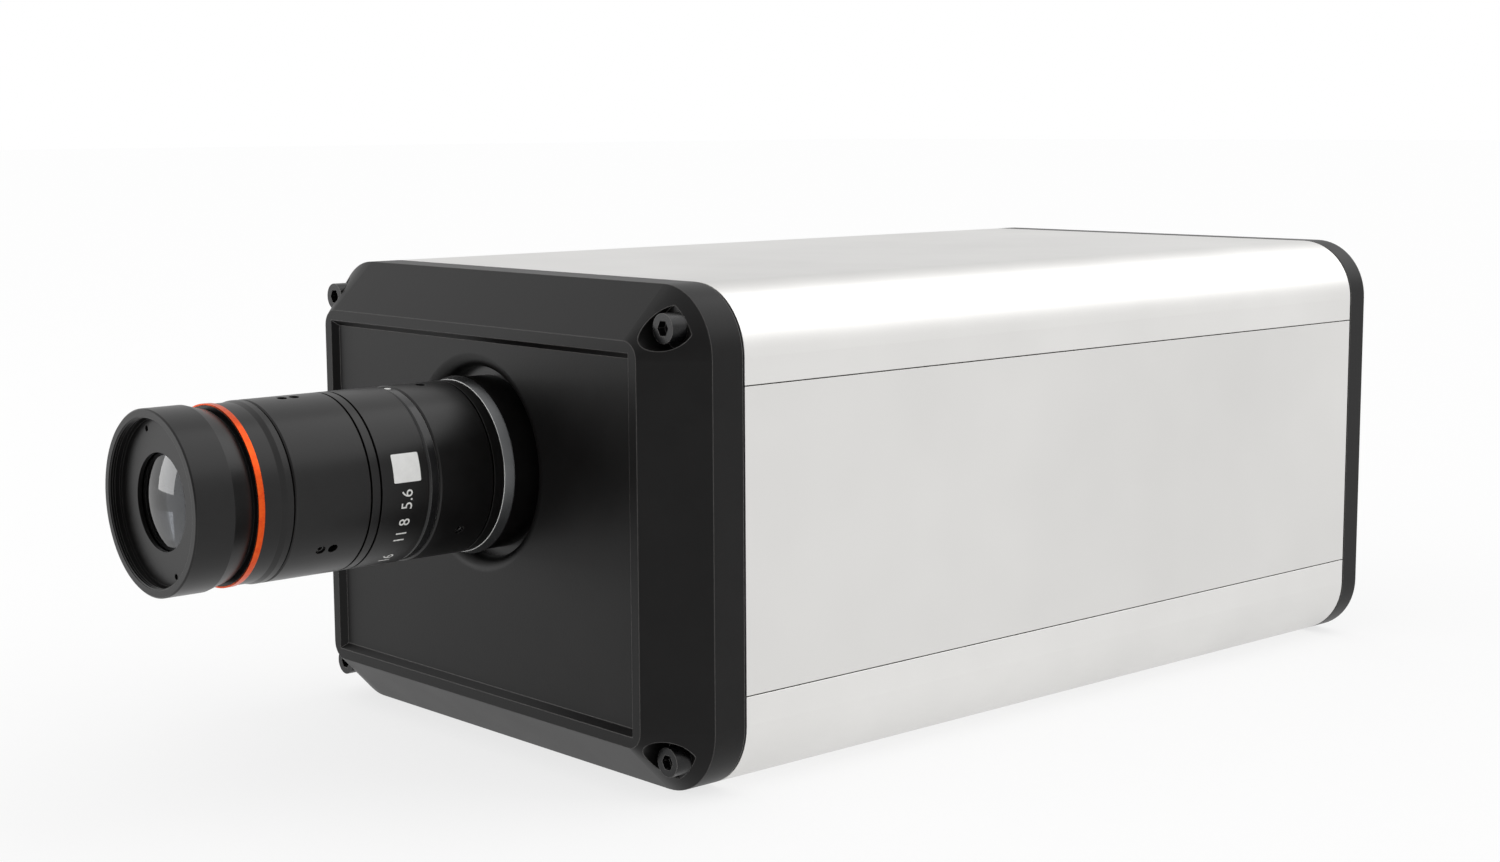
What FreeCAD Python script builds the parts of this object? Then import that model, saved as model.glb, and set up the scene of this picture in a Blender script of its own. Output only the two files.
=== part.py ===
import FreeCAD
import Part
import math
import os
import re
import Sketcher
from FreeCAD import Rotation, Vector

# A hyperspectral camera that scans inside its own housing: a machine-vision lens in
# front, a slit, grating and sensor on a motor-driven carriage behind it.
# Frame: millimetres, +Z up, the lens looks along -Y, and the origin is the mouth of
# the tripod thread in the underside. Piece lengths along Y are written from the front
# end of the silver housing, which lies tripod_setback in front of the origin.

doc = FreeCAD.newDocument("HyperspectralCamera")
sheet = doc.addObject("Spreadsheet::Sheet", "Sizes")

sizes = {
    # silver housing
    "body_width": 135.4,
    "body_height": 104.0,
    "body_corner": 14.5,
    "housing_length": 211.4,
    "tripod_setback": 105.7,
    "wall": 5.0,
    "panel_thickness": 3.0,
    "panel_lip": 5.0,
    "lower_seam": 20.5,
    "upper_seam_drop": 20.0,
    "seam_gap": 0.25,
    "gasket_thickness": 0.5,
    "gasket_inset": 0.4,
    # corner screws, measured from the sides and from the top and bottom
    "corner_side": 7.7,
    "corner_rise": 8.2,
    "corner_boss": 5.0,
    "screw_shank": 1.75,
    "screw_clearance": 0.25,
    "thread_clearance": 0.05,
    "screw_head": 3.05,
    "screw_head_height": 3.9,
    "hex_across_corners": 3.4,
    "hex_depth": 1.9,
    "front_screw_length": 25.0,
    "rear_screw_length": 20.0,
    # front cover
    "front_rim": 8.5,
    "bevel_size": 10.7,
    "recess_border": 2.4,
    "recess_depth": 1.5,
    "recess_slope": 40.0,
    "cover_wall": 4.5,
    "cover_frame_side": 15.0,
    "cover_frame_rise": 12.0,
    "screw_pocket": 4.4,
    "screw_floor": 10.8,
    "lens_hole": 20.8,
    "lens_hole_lip": 3.0,
    # rear cover
    "rear_depth": 7.4,
    "rear_edge": 1.0,
    "rear_counterbore": 4.4,
    # lens axis and stations, forward of the housing
    "lens_share": 0.60673077,
    "lens_seat": 21.0,
    "mount_ring_length": 2.5,
    "rear_lip_length": 2.4,
    "ring_play": 0.2,
    "iris_ring_length": 13.3,
    "index_ring_length": 2.4,
    "marked_band_length": 11.4,
    "stop_ring_length": 2.3,
    "stop_groove": 0.5,
    "groove_depth": 0.9,
    "focus_ring_length": 17.3,
    "front_shoulder": 6.6,
    "shoulder_land": 1.6,
    "shoulder_taper": 1.2,
    "shoulder_drop": 0.3,
    "accent_width": 1.35,
    "accent_gap": 1.0,
    "accent_wall": 0.35,
    "hood_taper": 4.2,
    "hood_taper_depth": 1.2,
    "hood_length": 8.25,
    "thread_depth": 4.0,
    # lens radii
    "barrel_radius": 18.5,
    "hood_radius": 18.6,
    "mount_ring_radius": 19.25,
    "mount_ring_lip": 0.1,
    "accent_radius": 18.4,
    "index_ring_radius": 18.25,
    "ring_seat": 16.2,
    "iris_seat": 16.0,
    "index_seat": 17.0,
    "accent_groove": 16.6,
    "neck_radius": 14.0,
    "thread_radius": 12.7,
    "fit_clearance": 0.05,
    "edge_break": 0.3,
    "guide_radius": 13.0,
    "guide_length": 18.0,
    "guide_end_gap": 3.0,
    # glass and what holds it
    "filter_thread": 17.0,
    "filter_depth": 2.6,
    "filter_thread_length": 1.5,
    "filter_relief": 0.3,
    "retainer_radius": 16.4,
    "retainer_depth": 0.9,
    "front_aperture": 9.8,
    "spanner_radius": 14.9,
    "spanner_hole": 0.6,
    "spanner_depth": 0.6,
    "spanner_angle": 109.0,
    "glass_gap": 0.2,
    "front_glass_radius": 12.0,
    "front_glass_curve": 26.0,
    "front_glass_length": 7.0,
    "front_shelf": 10.4,
    "inner_shelf": 9.6,
    "inner_glass_radius": 10.5,
    "inner_glass_curve": 30.0,
    "inner_glass_length": 4.5,
    "inner_glass_setback": 16.8,
    "inner_retainer_bore": 8.6,
    "inner_retainer_setback": 3.4,
    "inner_retainer_length": 2.0,
    "diaphragm_radius": 9.9,
    "diaphragm_opening": 4.5,
    "diaphragm_length": 1.5,
    "diaphragm_setback": 15.5,
    "rear_glass_radius": 9.0,
    "rear_glass_curve": 24.0,
    "rear_glass_length": 5.0,
    "rear_glass_setback": 9.0,
    "rear_shelf": 8.0,
    "rear_retainer_bore": 7.4,
    "rear_retainer_setback": 4.0,
    "rear_retainer_length": 2.0,
    # lock screws of the two rings
    "lock_radius": 1.0,
    "lock_angle": 84.0,
    "lock_pair_pitch": 2.8,
    "lock_recess": 0.4,
    "lock_hex": 1.15,
    "lock_hex_depth": 0.9,
    "tool_overrun": 1.0,
    # lens mount behind the front cover
    "mount_boss": 18.8,
    "mount_flange": 28.5,
    "mount_flange_length": 5.5,
    "mount_bore_depth": 9.0,
    "mount_light_bore": 11.0,
    "mount_screw_circle": 24.8,
    "small_shank": 1.5,
    "small_head": 2.75,
    "small_head_height": 3.0,
    "mount_screw_length": 8.0,
    # underside
    "tripod_radius": 3.175,
    "tripod_depth": 9.0,
    "base_hole_radius": 2.0,
    "base_hole_depth": 8.0,
    "base_pitch": 50.0,
    "base_pad": 34.0,
    "base_pad_roof": 2.5,
    "thread_runout": 0.5,
    "bench_bottom": 12.0,
    # scanning bench
    "bench_thickness": 6.0,
    "bench_side_gap": 17.7,
    "bench_start": 14.0,
    "bench_end": 196.0,
    "bench_screw_edge": 8.0,
    "bench_screw_inset": 9.0,
    "post_radius": 5.0,
    "bench_screw_length": 12.0,
    "rail_width": 9.0,
    "rail_height": 6.0,
    "rail_end_gap": 6.0,
    "front_rail_start": 37.5,
    "rear_rail_start": 133.5,
    "rail_clearance": 0.2,
    "block_width": 20.0,
    "block_half_length": 16.0,
    "block_lift": 2.0,
    "block_roof": 4.0,
    "plate_thickness": 6.0,
    "plate_half_width": 28.0,
    "plate_start": 28.0,
    "plate_end": 152.0,
    "drive_screw_radius": 3.0,
    "nut_depth": 14.0,
    "nut_half_width": 8.0,
    "nut_half_height": 6.0,
    "motor_size": 20.0,
    "motor_side_gap": 3.7,
    "motor_shaft_bore": 6.0,
    "motor_shaft_play": 0.2,
    "motor_length": 24.0,
    "motor_boss": 7.5,
    "motor_boss_length": 1.5,
    "bearing_side_gap": 10.0,
    "bearing_length": 8.0,
    # spectrograph
    "tube_radius": 17.0,
    "tube_wall": 3.0,
    "tube_start": 6.0,
    "tube_end": 118.0,
    "tube_front_wall": 3.0,
    "tube_opening": 8.0,
    "slit_setback": 17.526,
    "slit_plate_radius": 9.0,
    "slit_plate_thickness": 0.5,
    "slit_width": 0.3,
    "slit_height": 11.0,
    "slit_holder_radius": 14.0,
    "optics_gap": 0.05,
    "spacer_wall": 2.0,
    "collimator_start": 30.0,
    "collimator_length": 9.0,
    "collimator_curve": 48.0,
    "grating_start": 60.0,
    "grating_length": 6.0,
    "imaging_start": 88.0,
    "imaging_length": 10.0,
    "imaging_curve": 42.0,
    "saddle_length": 14.0,
    "front_saddle_start": 30.0,
    "rear_saddle_start": 92.0,
    "saddle_wall": 7.0,
    "cap_wall": 2.5,
    "cap_flange": 5.0,
    "camera_half_size": 18.0,
    "camera_length": 32.0,
    "camera_wall": 3.0,
    "board_thickness": 1.6,
    "sensor_setback": 13.0,
    "sensor_half_size": 9.0,
    "sensor_thickness": 2.5,
    "sink_base": 3.0,
    "sink_fin": 7.0,
    "sink_fin_thickness": 1.6,
    "sink_half_size": 17.0,
    # main board under the top shell
    "board_side_gap": 22.7,
    "board_start": 70.0,
    "board_end": 186.0,
    "board_drop": 14.0,
    "board_post": 3.5,
    "board_post_inset": 5.0,
    # sockets and switch in the rear cover
    "socket_inset": 29.7,
    "socket_low": 38.0,
    "socket_high": 66.0,
    "socket_barrel": 8.0,
    "socket_flange": 10.5,
    "socket_flange_length": 2.0,
    "socket_bore": 6.0,
    "socket_depth": 9.0,
    "socket_inner": 8.0,
    "nut_length": 3.0,
    "panel_hole_clearance": 0.1,
    "pin_radius": 0.6,
    "pin_length": 3.5,
    "pin_root": 1.0,
    "pin_circle": 2.8,
    "data_height": 60.0,
    "data_half_width": 6.0,
    "data_half_height": 5.5,
    "data_wall": 0.8,
    "data_flange": 3.0,
    "data_flange_length": 1.5,
    "data_depth": 12.0,
    "tongue_half_width": 2.8,
    "tongue_half_height": 1.6,
    "tongue_length": 6.7,
    "switch_height": 66.0,
    "switch_half_width": 7.5,
    "switch_half_height": 10.0,
    "switch_bezel": 2.0,
    "switch_bezel_length": 1.5,
    "switch_body": 14.0,
    "rocker_half_width": 5.2,
    "rocker_half_height": 7.0,
    "rocker_gap": 0.4,
    "rocker_pivot_inset": 1.4,
    "rocker_rise": 4.0,
    "rocker_dip": 2.6,
    "rocker_depth": 3.6,
    "rocker_tilt": 8.0,
    "rocker_pin": 1.0,
    "rocker_pin_reach": 1.0,
    "rocker_pin_play": 0.1,
    "rocker_edge": 0.2,
    "rocker_base_share": 0.65,
    "rocker_side_share": 0.15,
    "lamp_radius": 2.5,
    "lamp_height": 38.0,
    "lamp_rise": 1.5,
    "lamp_length": 11.0,
    "lamp_flange": 1.0,
    "lamp_flange_length": 0.6,
    "lamp_dome_share": 0.6,
}

# Sizes that follow from others, each with its named clearance or share
derived = {
    "upper_seam": "body_height - upper_seam_drop",
    "lens_height": "body_height * lens_share",
    "bench_half_width": "body_width / 2 - bench_side_gap",
    "bench_screw_side": "bench_half_width - bench_screw_edge",
    "rail_half_length": "bench_half_width - rail_end_gap",
    "motor_start": "body_width / 2 - panel_thickness - motor_side_gap - motor_length",
    "bearing_end": "bench_half_width - bearing_side_gap",
    "board_half_width": "body_width / 2 - board_side_gap",
    "board_height": "body_height - board_drop",
    "socket_side": "body_width / 2 - socket_inset",
    "front_glass_bulge": "front_glass_curve - sqrt(front_glass_curve ^ 2 - front_aperture ^ 2)",
    "optics_radius": "tube_radius - tube_wall - optics_gap",
    "spacer_bore": "optics_radius - spacer_wall",
    "collimator_dome": "collimator_curve - sqrt(collimator_curve ^ 2 - spacer_bore ^ 2)",
    "collimator_edge": "collimator_length - collimator_dome + optics_gap",
    "imaging_dome": "imaging_curve - sqrt(imaging_curve ^ 2 - spacer_bore ^ 2)",
    "imaging_edge": "imaging_length - imaging_dome + optics_gap",
    "saddle_half_width": "tube_radius + saddle_wall",
    "cap_radius": "tube_radius + cap_wall",
}
cells = [(alias, str(number)) for alias, number in sizes.items()]
cells += [(alias, "=" + rule) for alias, rule in derived.items()]
for row, (alias, content) in enumerate(cells, start=1):
    sheet.set("A%d" % row, alias)
    sheet.set("B%d" % row, content)
    sheet.setAlias("B%d" % row, alias)
doc.recompute()

subParts = []


# Small helpers: every size goes into the document as an expression on the sheet.

def sized(text):
    """Turn plain alias names into references to the sheet."""
    def swap(match):
        word = match.group(0)
        return "Sizes." + word if word in sizes or word in derived else word
    return re.sub(r"[a-z]\w*", swap, str(text))


def bind(thing, target, text):
    thing.setExpression(target, sized(text))


def size(alias):
    return float(sheet.get(alias))


def keep(thing, name):
    """Name a finished sub-part and put it on the list to be written."""
    thing.Label = name
    subParts.append(thing)
    return thing


def fromFront(text):
    """A station along Y, counted from the front end of the housing."""
    return "(%s) - tripod_setback" % text


# Part primitives and booleans

def block(name, xSpan, ySpan, zSpan):
    box = doc.addObject("Part::Box", name)
    bind(box, "Length", "(%s) - (%s)" % (xSpan[1], xSpan[0]))
    bind(box, "Width", "(%s) - (%s)" % (ySpan[1], ySpan[0]))
    bind(box, "Height", "(%s) - (%s)" % (zSpan[1], zSpan[0]))
    bind(box, "Placement.Base.x", xSpan[0])
    bind(box, "Placement.Base.y", fromFront(ySpan[0]))
    bind(box, "Placement.Base.z", zSpan[0])
    return box


def rod(name, axis, centre, radius, span):
    """A cylinder along X, Y or Z: centre gives the two other coordinates in order."""
    cylinder = doc.addObject("Part::Cylinder", name)
    bind(cylinder, "Radius", radius)
    bind(cylinder, "Height", "(%s) - (%s)" % (span[1], span[0]))
    direction = {"X": Vector(1, 0, 0), "Y": Vector(0, 1, 0), "Z": Vector(0, 0, 1)}[axis]
    cylinder.Placement = FreeCAD.Placement(Vector(), Rotation(Vector(0, 0, 1), direction))
    first, second = centre
    base = {"X": (span[0], first, second), "Y": (first, span[0], second), "Z": (first, second, span[0])}[axis]
    bind(cylinder, "Placement.Base.x", base[0])
    bind(cylinder, "Placement.Base.y", fromFront(base[1]))
    bind(cylinder, "Placement.Base.z", base[2])
    return cylinder


def spoke(name, station, angle, radius, reach):
    """A thin cylinder that starts on the lens axis and points outwards at an angle."""
    cylinder = doc.addObject("Part::Cylinder", name)
    bind(cylinder, "Radius", radius)
    bind(cylinder, "Height", reach)
    level = Rotation(Vector(0, 0, 1), Vector(1, 0, 0))
    raised = Rotation(Vector(0, -1, 0), angle)
    cylinder.Placement = FreeCAD.Placement(Vector(), raised.multiply(level))
    bind(cylinder, "Placement.Base.y", fromFront(station))
    bind(cylinder, "Placement.Base.z", "lens_height")
    return cylinder


def spokeSocket(name, station, angle, across, low, high):
    """A hexagonal hole that points outwards from the lens axis, from one radius to another."""
    prism = doc.addObject("Part::Prism", name)
    prism.Polygon = 6
    bind(prism, "Circumradius", across + " / 2")
    bind(prism, "Height", "(%s) - (%s)" % (high, low))
    level = Rotation(Vector(0, 0, 1), Vector(1, 0, 0))
    raised = Rotation(Vector(0, -1, 0), angle)
    prism.Placement = FreeCAD.Placement(Vector(), raised.multiply(level))
    turn = math.radians(angle)
    bind(prism, "Placement.Base.x", "%.6f * (%s)" % (math.cos(turn), low))
    bind(prism, "Placement.Base.y", fromFront(station))
    bind(prism, "Placement.Base.z", "lens_height + %.6f * (%s)" % (math.sin(turn), low))
    return prism


def joined(name, pieces):
    fusion = doc.addObject("Part::MultiFuse", name)
    fusion.Shapes = pieces
    return fusion


def grouped(name, pieces):
    group = doc.addObject("Part::Compound", name)
    group.Links = pieces
    return group


def carved(name, base, tools):
    tool = tools[0] if len(tools) == 1 else joined(name + "_tools", tools)
    cut = doc.addObject("Part::Cut", name)
    cut.Base = base
    cut.Tool = tool
    return cut


def shared(name, first, second):
    common = doc.addObject("Part::Common", name)
    common.Base = first
    common.Tool = second
    return common


# Sketches and PartDesign features

def newBody(name, centre=("0", "0")):
    """A body whose own Y starts at the front end of the housing."""
    body = doc.addObject("PartDesign::Body", name)
    bind(body, "Placement.Base.x", centre[0])
    bind(body, "Placement.Base.y", fromFront("0"))
    bind(body, "Placement.Base.z", centre[1])
    return body


def sketchOn(body, role, offset="0"):
    sketch = body.newObject("Sketcher::SketchObject", body.Name + "_sketch")
    plane = [feature for feature in body.Origin.OriginFeatures if feature.Role == role][0]
    sketch.AttachmentSupport = [(plane, "")]
    sketch.MapMode = "FlatFace"
    bind(sketch, "AttachmentOffset.Base.z", offset)
    return sketch


def drawPolygon(sketch, points):
    """A closed polygon whose corners are held at the given expressions."""
    count = len(points)
    start = sketch.GeometryCount
    turns = [2 * math.pi * index / count for index in range(count)]
    corners = [Vector(10 * math.cos(turn), 10 * math.sin(turn), 0) for turn in turns]
    rules = []
    for index in range(count):
        following = (index + 1) % count
        sketch.addGeometry(Part.LineSegment(corners[index], corners[following]))
        rules.append(Sketcher.Constraint("Coincident", start + index, 2, start + following, 1))
    first = sketch.ConstraintCount + count
    for index, corner in enumerate(corners):
        rules.append(Sketcher.Constraint("DistanceX", -1, 1, start + index, 1, corner.x))
        rules.append(Sketcher.Constraint("DistanceY", -1, 1, start + index, 1, corner.y))
    sketch.addConstraint(rules)
    for index, (across, along) in enumerate(points):
        bind(sketch, "Constraints[%d]" % (first + 2 * index), across)
        bind(sketch, "Constraints[%d]" % (first + 2 * index + 1), along)


def drawCircle(sketch, centre, radius):
    index = sketch.GeometryCount
    first = sketch.ConstraintCount
    place = Vector(5.0 * index + 1.0, 1.0, 0)
    sketch.addGeometry(Part.Circle(place, Vector(0, 0, 1), 2.0))
    sketch.addConstraint([
        Sketcher.Constraint("DistanceX", -1, 1, index, 3, place.x),
        Sketcher.Constraint("DistanceY", -1, 1, index, 3, place.y),
        Sketcher.Constraint("Radius", index, 2.0),
    ])
    bind(sketch, "Constraints[%d]" % first, centre[0])
    bind(sketch, "Constraints[%d]" % (first + 1), centre[1])
    bind(sketch, "Constraints[%d]" % (first + 2), radius)


def oblong(left, right, low, high):
    return [(left, low), (right, low), (right, high), (left, high)]


def draw(sketch, outlines):
    """Polygons are lists of corners, circles are (centre, radius)."""
    for outline in outlines:
        if isinstance(outline, list):
            drawPolygon(sketch, outline)
        else:
            drawCircle(sketch, outline[0], outline[1])


def padAlongY(body, outlines, nearEnd, farEnd):
    sketch = sketchOn(body, "XZ_Plane", "-(%s)" % farEnd)
    draw(sketch, outlines)
    pad = body.newObject("PartDesign::Pad", body.Name + "_pad")
    pad.Profile = sketch
    bind(pad, "Length", "(%s) - (%s)" % (farEnd, nearEnd))
    doc.recompute()
    return pad


def cutAlongY(body, outlines, nearEnd, farEnd):
    before = body.Shape.Volume
    sketch = sketchOn(body, "XZ_Plane", "-(%s)" % nearEnd)
    draw(sketch, outlines)
    pocket = body.newObject("PartDesign::Pocket", body.Name + "_pocket")
    pocket.Profile = sketch
    bind(pocket, "Length", "(%s) - (%s)" % (farEnd, nearEnd))
    doc.recompute()
    if body.Shape.Volume >= before:
        raise RuntimeError("the pocket cuts nothing in " + body.Name)
    return pocket


def padUp(body, outlines, low, high):
    sketch = sketchOn(body, "XY_Plane", low)
    draw(sketch, outlines)
    pad = body.newObject("PartDesign::Pad", body.Name + "_pad")
    pad.Profile = sketch
    bind(pad, "Length", "(%s) - (%s)" % (high, low))
    doc.recompute()
    return pad


def cutDown(body, outlines, low, high):
    before = body.Shape.Volume
    sketch = sketchOn(body, "XY_Plane", high)
    draw(sketch, outlines)
    pocket = body.newObject("PartDesign::Pocket", body.Name + "_pocket")
    pocket.Profile = sketch
    bind(pocket, "Length", "(%s) - (%s)" % (high, low))
    doc.recompute()
    if body.Shape.Volume >= before:
        raise RuntimeError("the pocket cuts nothing in " + body.Name)
    return pocket


def edgesWhere(feature, test):
    names = []
    for index, edge in enumerate(feature.Shape.Edges, start=1):
        if test(edge):
            names.append("Edge%d" % index)
    if not names:
        raise RuntimeError("no edge found on " + feature.Name)
    return names


def near(first, second, slack=0.01):
    return abs(first - second) < slack


def runsAlongY(edge):
    first = edge.Vertexes[0].Point
    last = edge.Vertexes[-1].Point
    return near(first.x, last.x) and near(first.z, last.z) and not near(first.y, last.y)


def rounded(body, feature, test, radius):
    fillet = body.newObject("PartDesign::Fillet", body.Name + "_fillet")
    fillet.Base = (feature, edgesWhere(feature, test))
    bind(fillet, "Radius", radius)
    doc.recompute()
    return fillet


def bevelled(body, feature, test, width):
    chamfer = body.newObject("PartDesign::Chamfer", body.Name + "_chamfer")
    chamfer.Base = (feature, edgesWhere(feature, test))
    bind(chamfer, "Size", width)
    doc.recompute()
    return chamfer


def turned(name, points, centre=("0", "lens_height")):
    """A piece turned about an axis along Y: points are (radius, station)."""
    body = newBody(name, centre)
    sketch = sketchOn(body, "XY_Plane")
    drawPolygon(sketch, points)
    revolution = body.newObject("PartDesign::Revolution", name + "_turning")
    revolution.Profile = sketch
    revolution.ReferenceAxis = (sketch, ["V_Axis"])
    revolution.Angle = 360.0
    doc.recompute()
    return body


def tube(name, inner, outer, nearEnd, farEnd, centre=("0", "lens_height")):
    return turned(name, [(inner, nearEnd), (outer, nearEnd), (outer, farEnd), (inner, farEnd)], centre)


def domed(name, radius, curve, flatEnd, length, backwards=True):
    """A glass with one flat face at flatEnd and one round face at its other end."""
    centre = ("0", "lens_height")
    if backwards:
        span = (flatEnd, "(%s) + %s" % (flatEnd, length))
        middle = "(%s) + %s - %s" % (flatEnd, length, curve)
    else:
        span = ("(%s) - %s" % (flatEnd, length), flatEnd)
        middle = "(%s) - %s + %s" % (flatEnd, length, curve)
    ball = doc.addObject("Part::Sphere", name + "_ball")
    bind(ball, "Radius", curve)
    bind(ball, "Placement.Base.y", fromFront(middle))
    bind(ball, "Placement.Base.z", "lens_height")
    return shared(name, rod(name + "_rim", "Y", centre, radius, span), ball)


def capScrew(name, side, height, floor, length, outward):
    """A socket-head cap screw along Y: its head stands on floor, outward is -1 or 1."""
    centre = (side, height)
    if outward < 0:
        headSpan = ("(%s) - screw_head_height" % floor, floor)
        shankSpan = (floor, "(%s) + %s" % (floor, length))
        socketStart = "(%s) - screw_head_height" % floor
    else:
        headSpan = (floor, "(%s) + screw_head_height" % floor)
        shankSpan = ("(%s) - %s" % (floor, length), floor)
        socketStart = "(%s) + screw_head_height - hex_depth" % floor
    head = rod(name + "_head", "Y", centre, "screw_head", headSpan)
    socket = doc.addObject("Part::Prism", name + "_socket")
    socket.Polygon = 6
    bind(socket, "Circumradius", "hex_across_corners / 2")
    bind(socket, "Height", "hex_depth")
    socket.Placement = FreeCAD.Placement(Vector(), Rotation(Vector(0, 0, 1), Vector(0, 1, 0)))
    bind(socket, "Placement.Base.x", side)
    bind(socket, "Placement.Base.y", fromFront(socketStart))
    bind(socket, "Placement.Base.z", height)
    hollowHead = carved(name + "_drive", head, [socket])
    shank = rod(name + "_shank", "Y", centre, "screw_shank", shankSpan)
    return joined(name, [hollowHead, shank])


# Places that several pieces share

halfWidth = "body_width / 2"
cornerX = "(body_width / 2 - corner_side)"
cornerTop = "(body_height - corner_rise)"
corners = [(sign + cornerX, level) for sign in ("", "-") for level in ("corner_rise", cornerTop)]
frontEnd = "-(front_rim + bevel_size)"
recessFloor = "(recess_depth - front_rim - bevel_size)"
coverInside = "(%s + cover_wall)" % recessFloor
rearInside = "(housing_length + gasket_thickness)"
rearFace = "(housing_length + rear_depth)"
frameSpan = ("cover_frame_side - " + halfWidth, halfWidth + " - cover_frame_side")
frameRise = ("cover_frame_rise", "body_height - cover_frame_rise")
benchTop = "(bench_bottom + bench_thickness)"
plateLow = "(%s + rail_height + block_roof)" % benchTop
plateTop = "(%s + plate_thickness)" % plateLow
driveHeight = "(%s + motor_size / 2)" % benchTop
driveStation = "(plate_end + nut_depth / 2)"

# Stations along the lens, each further forward than the one before
seatAt = "-lens_seat"
ringAt = "-(lens_seat + mount_ring_length)"
lipAt = "(%s - rear_lip_length)" % ringAt
irisAt = "(%s - ring_play)" % lipAt
irisEnd = "(%s - iris_ring_length)" % irisAt
indexAt = "(%s - ring_play)" % irisEnd
indexEnd = "(%s - index_ring_length)" % indexAt
bandEnd = "(%s - marked_band_length)" % indexEnd
stopEnd = "(%s - stop_ring_length)" % bandEnd
focusAt = "(%s - ring_play)" % stopEnd
focusEnd = "(%s - focus_ring_length)" % focusAt
shoulderAt = "(%s - ring_play)" % focusEnd
accentAt = "(%s - front_shoulder)" % shoulderAt
accentEnd = "(%s - accent_width)" % accentAt
accentSeat = "accent_radius - accent_wall - fit_clearance"
gapEnd = "(%s - accent_gap)" % accentEnd
taperEnd = "(%s - hood_taper)" % gapEnd
lensFront = "(%s - hood_length)" % taperEnd
filterFloor = "(%s + filter_depth)" % lensFront
retainerSeat = "(%s + retainer_depth)" % filterFloor


# Silver housing: two folded shells of extruded aluminium, and a flat panel each side
# that seats on their lips and leaves a hairline seam above and below it

def shell(name, seam, lipEnd, inner, outer):
    side = halfWidth
    inside = side + " - wall"
    seat = side + " - panel_thickness"
    profile = [
        ("-(%s)" % side, seam), ("-(%s)" % side, outer), (side, outer), (side, seam),
        (seat, seam), (seat, lipEnd), (inside, lipEnd), (inside, inner),
        ("-(%s)" % inside, inner), ("-(%s)" % inside, lipEnd), ("-(%s)" % seat, lipEnd),
        ("-(%s)" % seat, seam),
    ]
    body = newBody(name)
    feature = padAlongY(body, [profile], "0", "housing_length")
    half = size("body_width") / 2
    outerLevel = 0.0 if outer == "0" else size("body_height")
    innerLevel = size("wall") if outer == "0" else size("body_height") - size("wall")

    def outerCorner(edge):
        point = edge.Vertexes[0].Point
        return runsAlongY(edge) and near(abs(point.x), half) and near(point.z, outerLevel)

    def innerCorner(edge):
        point = edge.Vertexes[0].Point
        return runsAlongY(edge) and near(abs(point.x), half - size("wall")) and near(point.z, innerLevel)

    feature = rounded(body, feature, outerCorner, "body_corner")
    rounded(body, feature, innerCorner, "body_corner - wall")
    level = "corner_rise" if outer == "0" else cornerTop
    centres = [(cornerX, level), ("-" + cornerX, level)]
    padAlongY(body, [(centre, "corner_boss") for centre in centres], "0", "housing_length")
    threads = [(centre, "screw_shank + thread_clearance") for centre in centres]
    cutAlongY(body, threads, "0", "housing_length")
    return body


topShell = shell("top_shell", "upper_seam", "upper_seam - panel_lip", "body_height - wall", "body_height")
boardPosts = []
for side in ("board_half_width - board_post_inset", "board_post_inset - board_half_width"):
    for station in ("board_start + board_post_inset", "board_end - board_post_inset"):
        boardPosts.append(((side, station), "board_post"))
padUp(topShell, boardPosts, "board_height + board_thickness", "body_height - wall")
keep(topShell, "top_shell")

bottomShell = shell("bottom_shell", "lower_seam", "lower_seam + panel_lip", "wall", "0")
pad = oblong("-base_pad", "base_pad", "tripod_setback - base_pad", "tripod_setback + base_pad")
padUp(bottomShell, [pad], "wall", "base_hole_depth + base_pad_roof")
postCentres = []
for side in ("bench_screw_side", "-bench_screw_side"):
    for station in ("bench_start + bench_screw_inset", "bench_end - bench_screw_inset"):
        postCentres.append((side, station))
padUp(bottomShell, [(centre, "post_radius") for centre in postCentres], "wall", "bench_bottom")
benchThreads = [(centre, "screw_shank + thread_clearance") for centre in postCentres]
cutDown(bottomShell, benchThreads, benchTop + " - bench_screw_length - thread_runout", "bench_bottom")
cutDown(bottomShell, [(("0", "tripod_setback"), "tripod_radius")], "0", "tripod_depth")
baseHoles = []
for side in ("base_pitch / 2", "-base_pitch / 2"):
    for station in ("tripod_setback - base_pitch / 2", "tripod_setback + base_pitch / 2"):
        baseHoles.append(((side, station), "base_hole_radius"))
cutDown(bottomShell, baseHoles, "0", "base_hole_depth")
keep(bottomShell, "bottom_shell")

panelRise = ("lower_seam + seam_gap", "upper_seam - seam_gap")
panelSpans = {
    "side_panel_right": (halfWidth + " - panel_thickness", halfWidth),
    "side_panel_left": ("-" + halfWidth, "panel_thickness - " + halfWidth),
}
for name, span in panelSpans.items():
    keep(block(name, span, ("0", "housing_length"), panelRise), name)


# Front cover: a cast frame with bevels on four sides round a sunken panel

def coverBlank(name, nearEnd, farEnd, inset):
    body = newBody(name)
    side = "%s - %s" % (halfWidth, inset)
    outline = oblong("-(%s)" % side, side, inset, "body_height - %s" % inset)
    feature = padAlongY(body, [outline], nearEnd, farEnd)
    feature = rounded(body, feature, runsAlongY, "body_corner - %s" % inset)
    return body, feature


def liesAt(station):
    def test(edge):
        middle = edge.valueAt((edge.FirstParameter + edge.LastParameter) / 2)
        ends = [vertex.Point.y for vertex in edge.Vertexes]
        return near(middle.y, station) and all(near(end, station) for end in ends)
    return test


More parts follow.
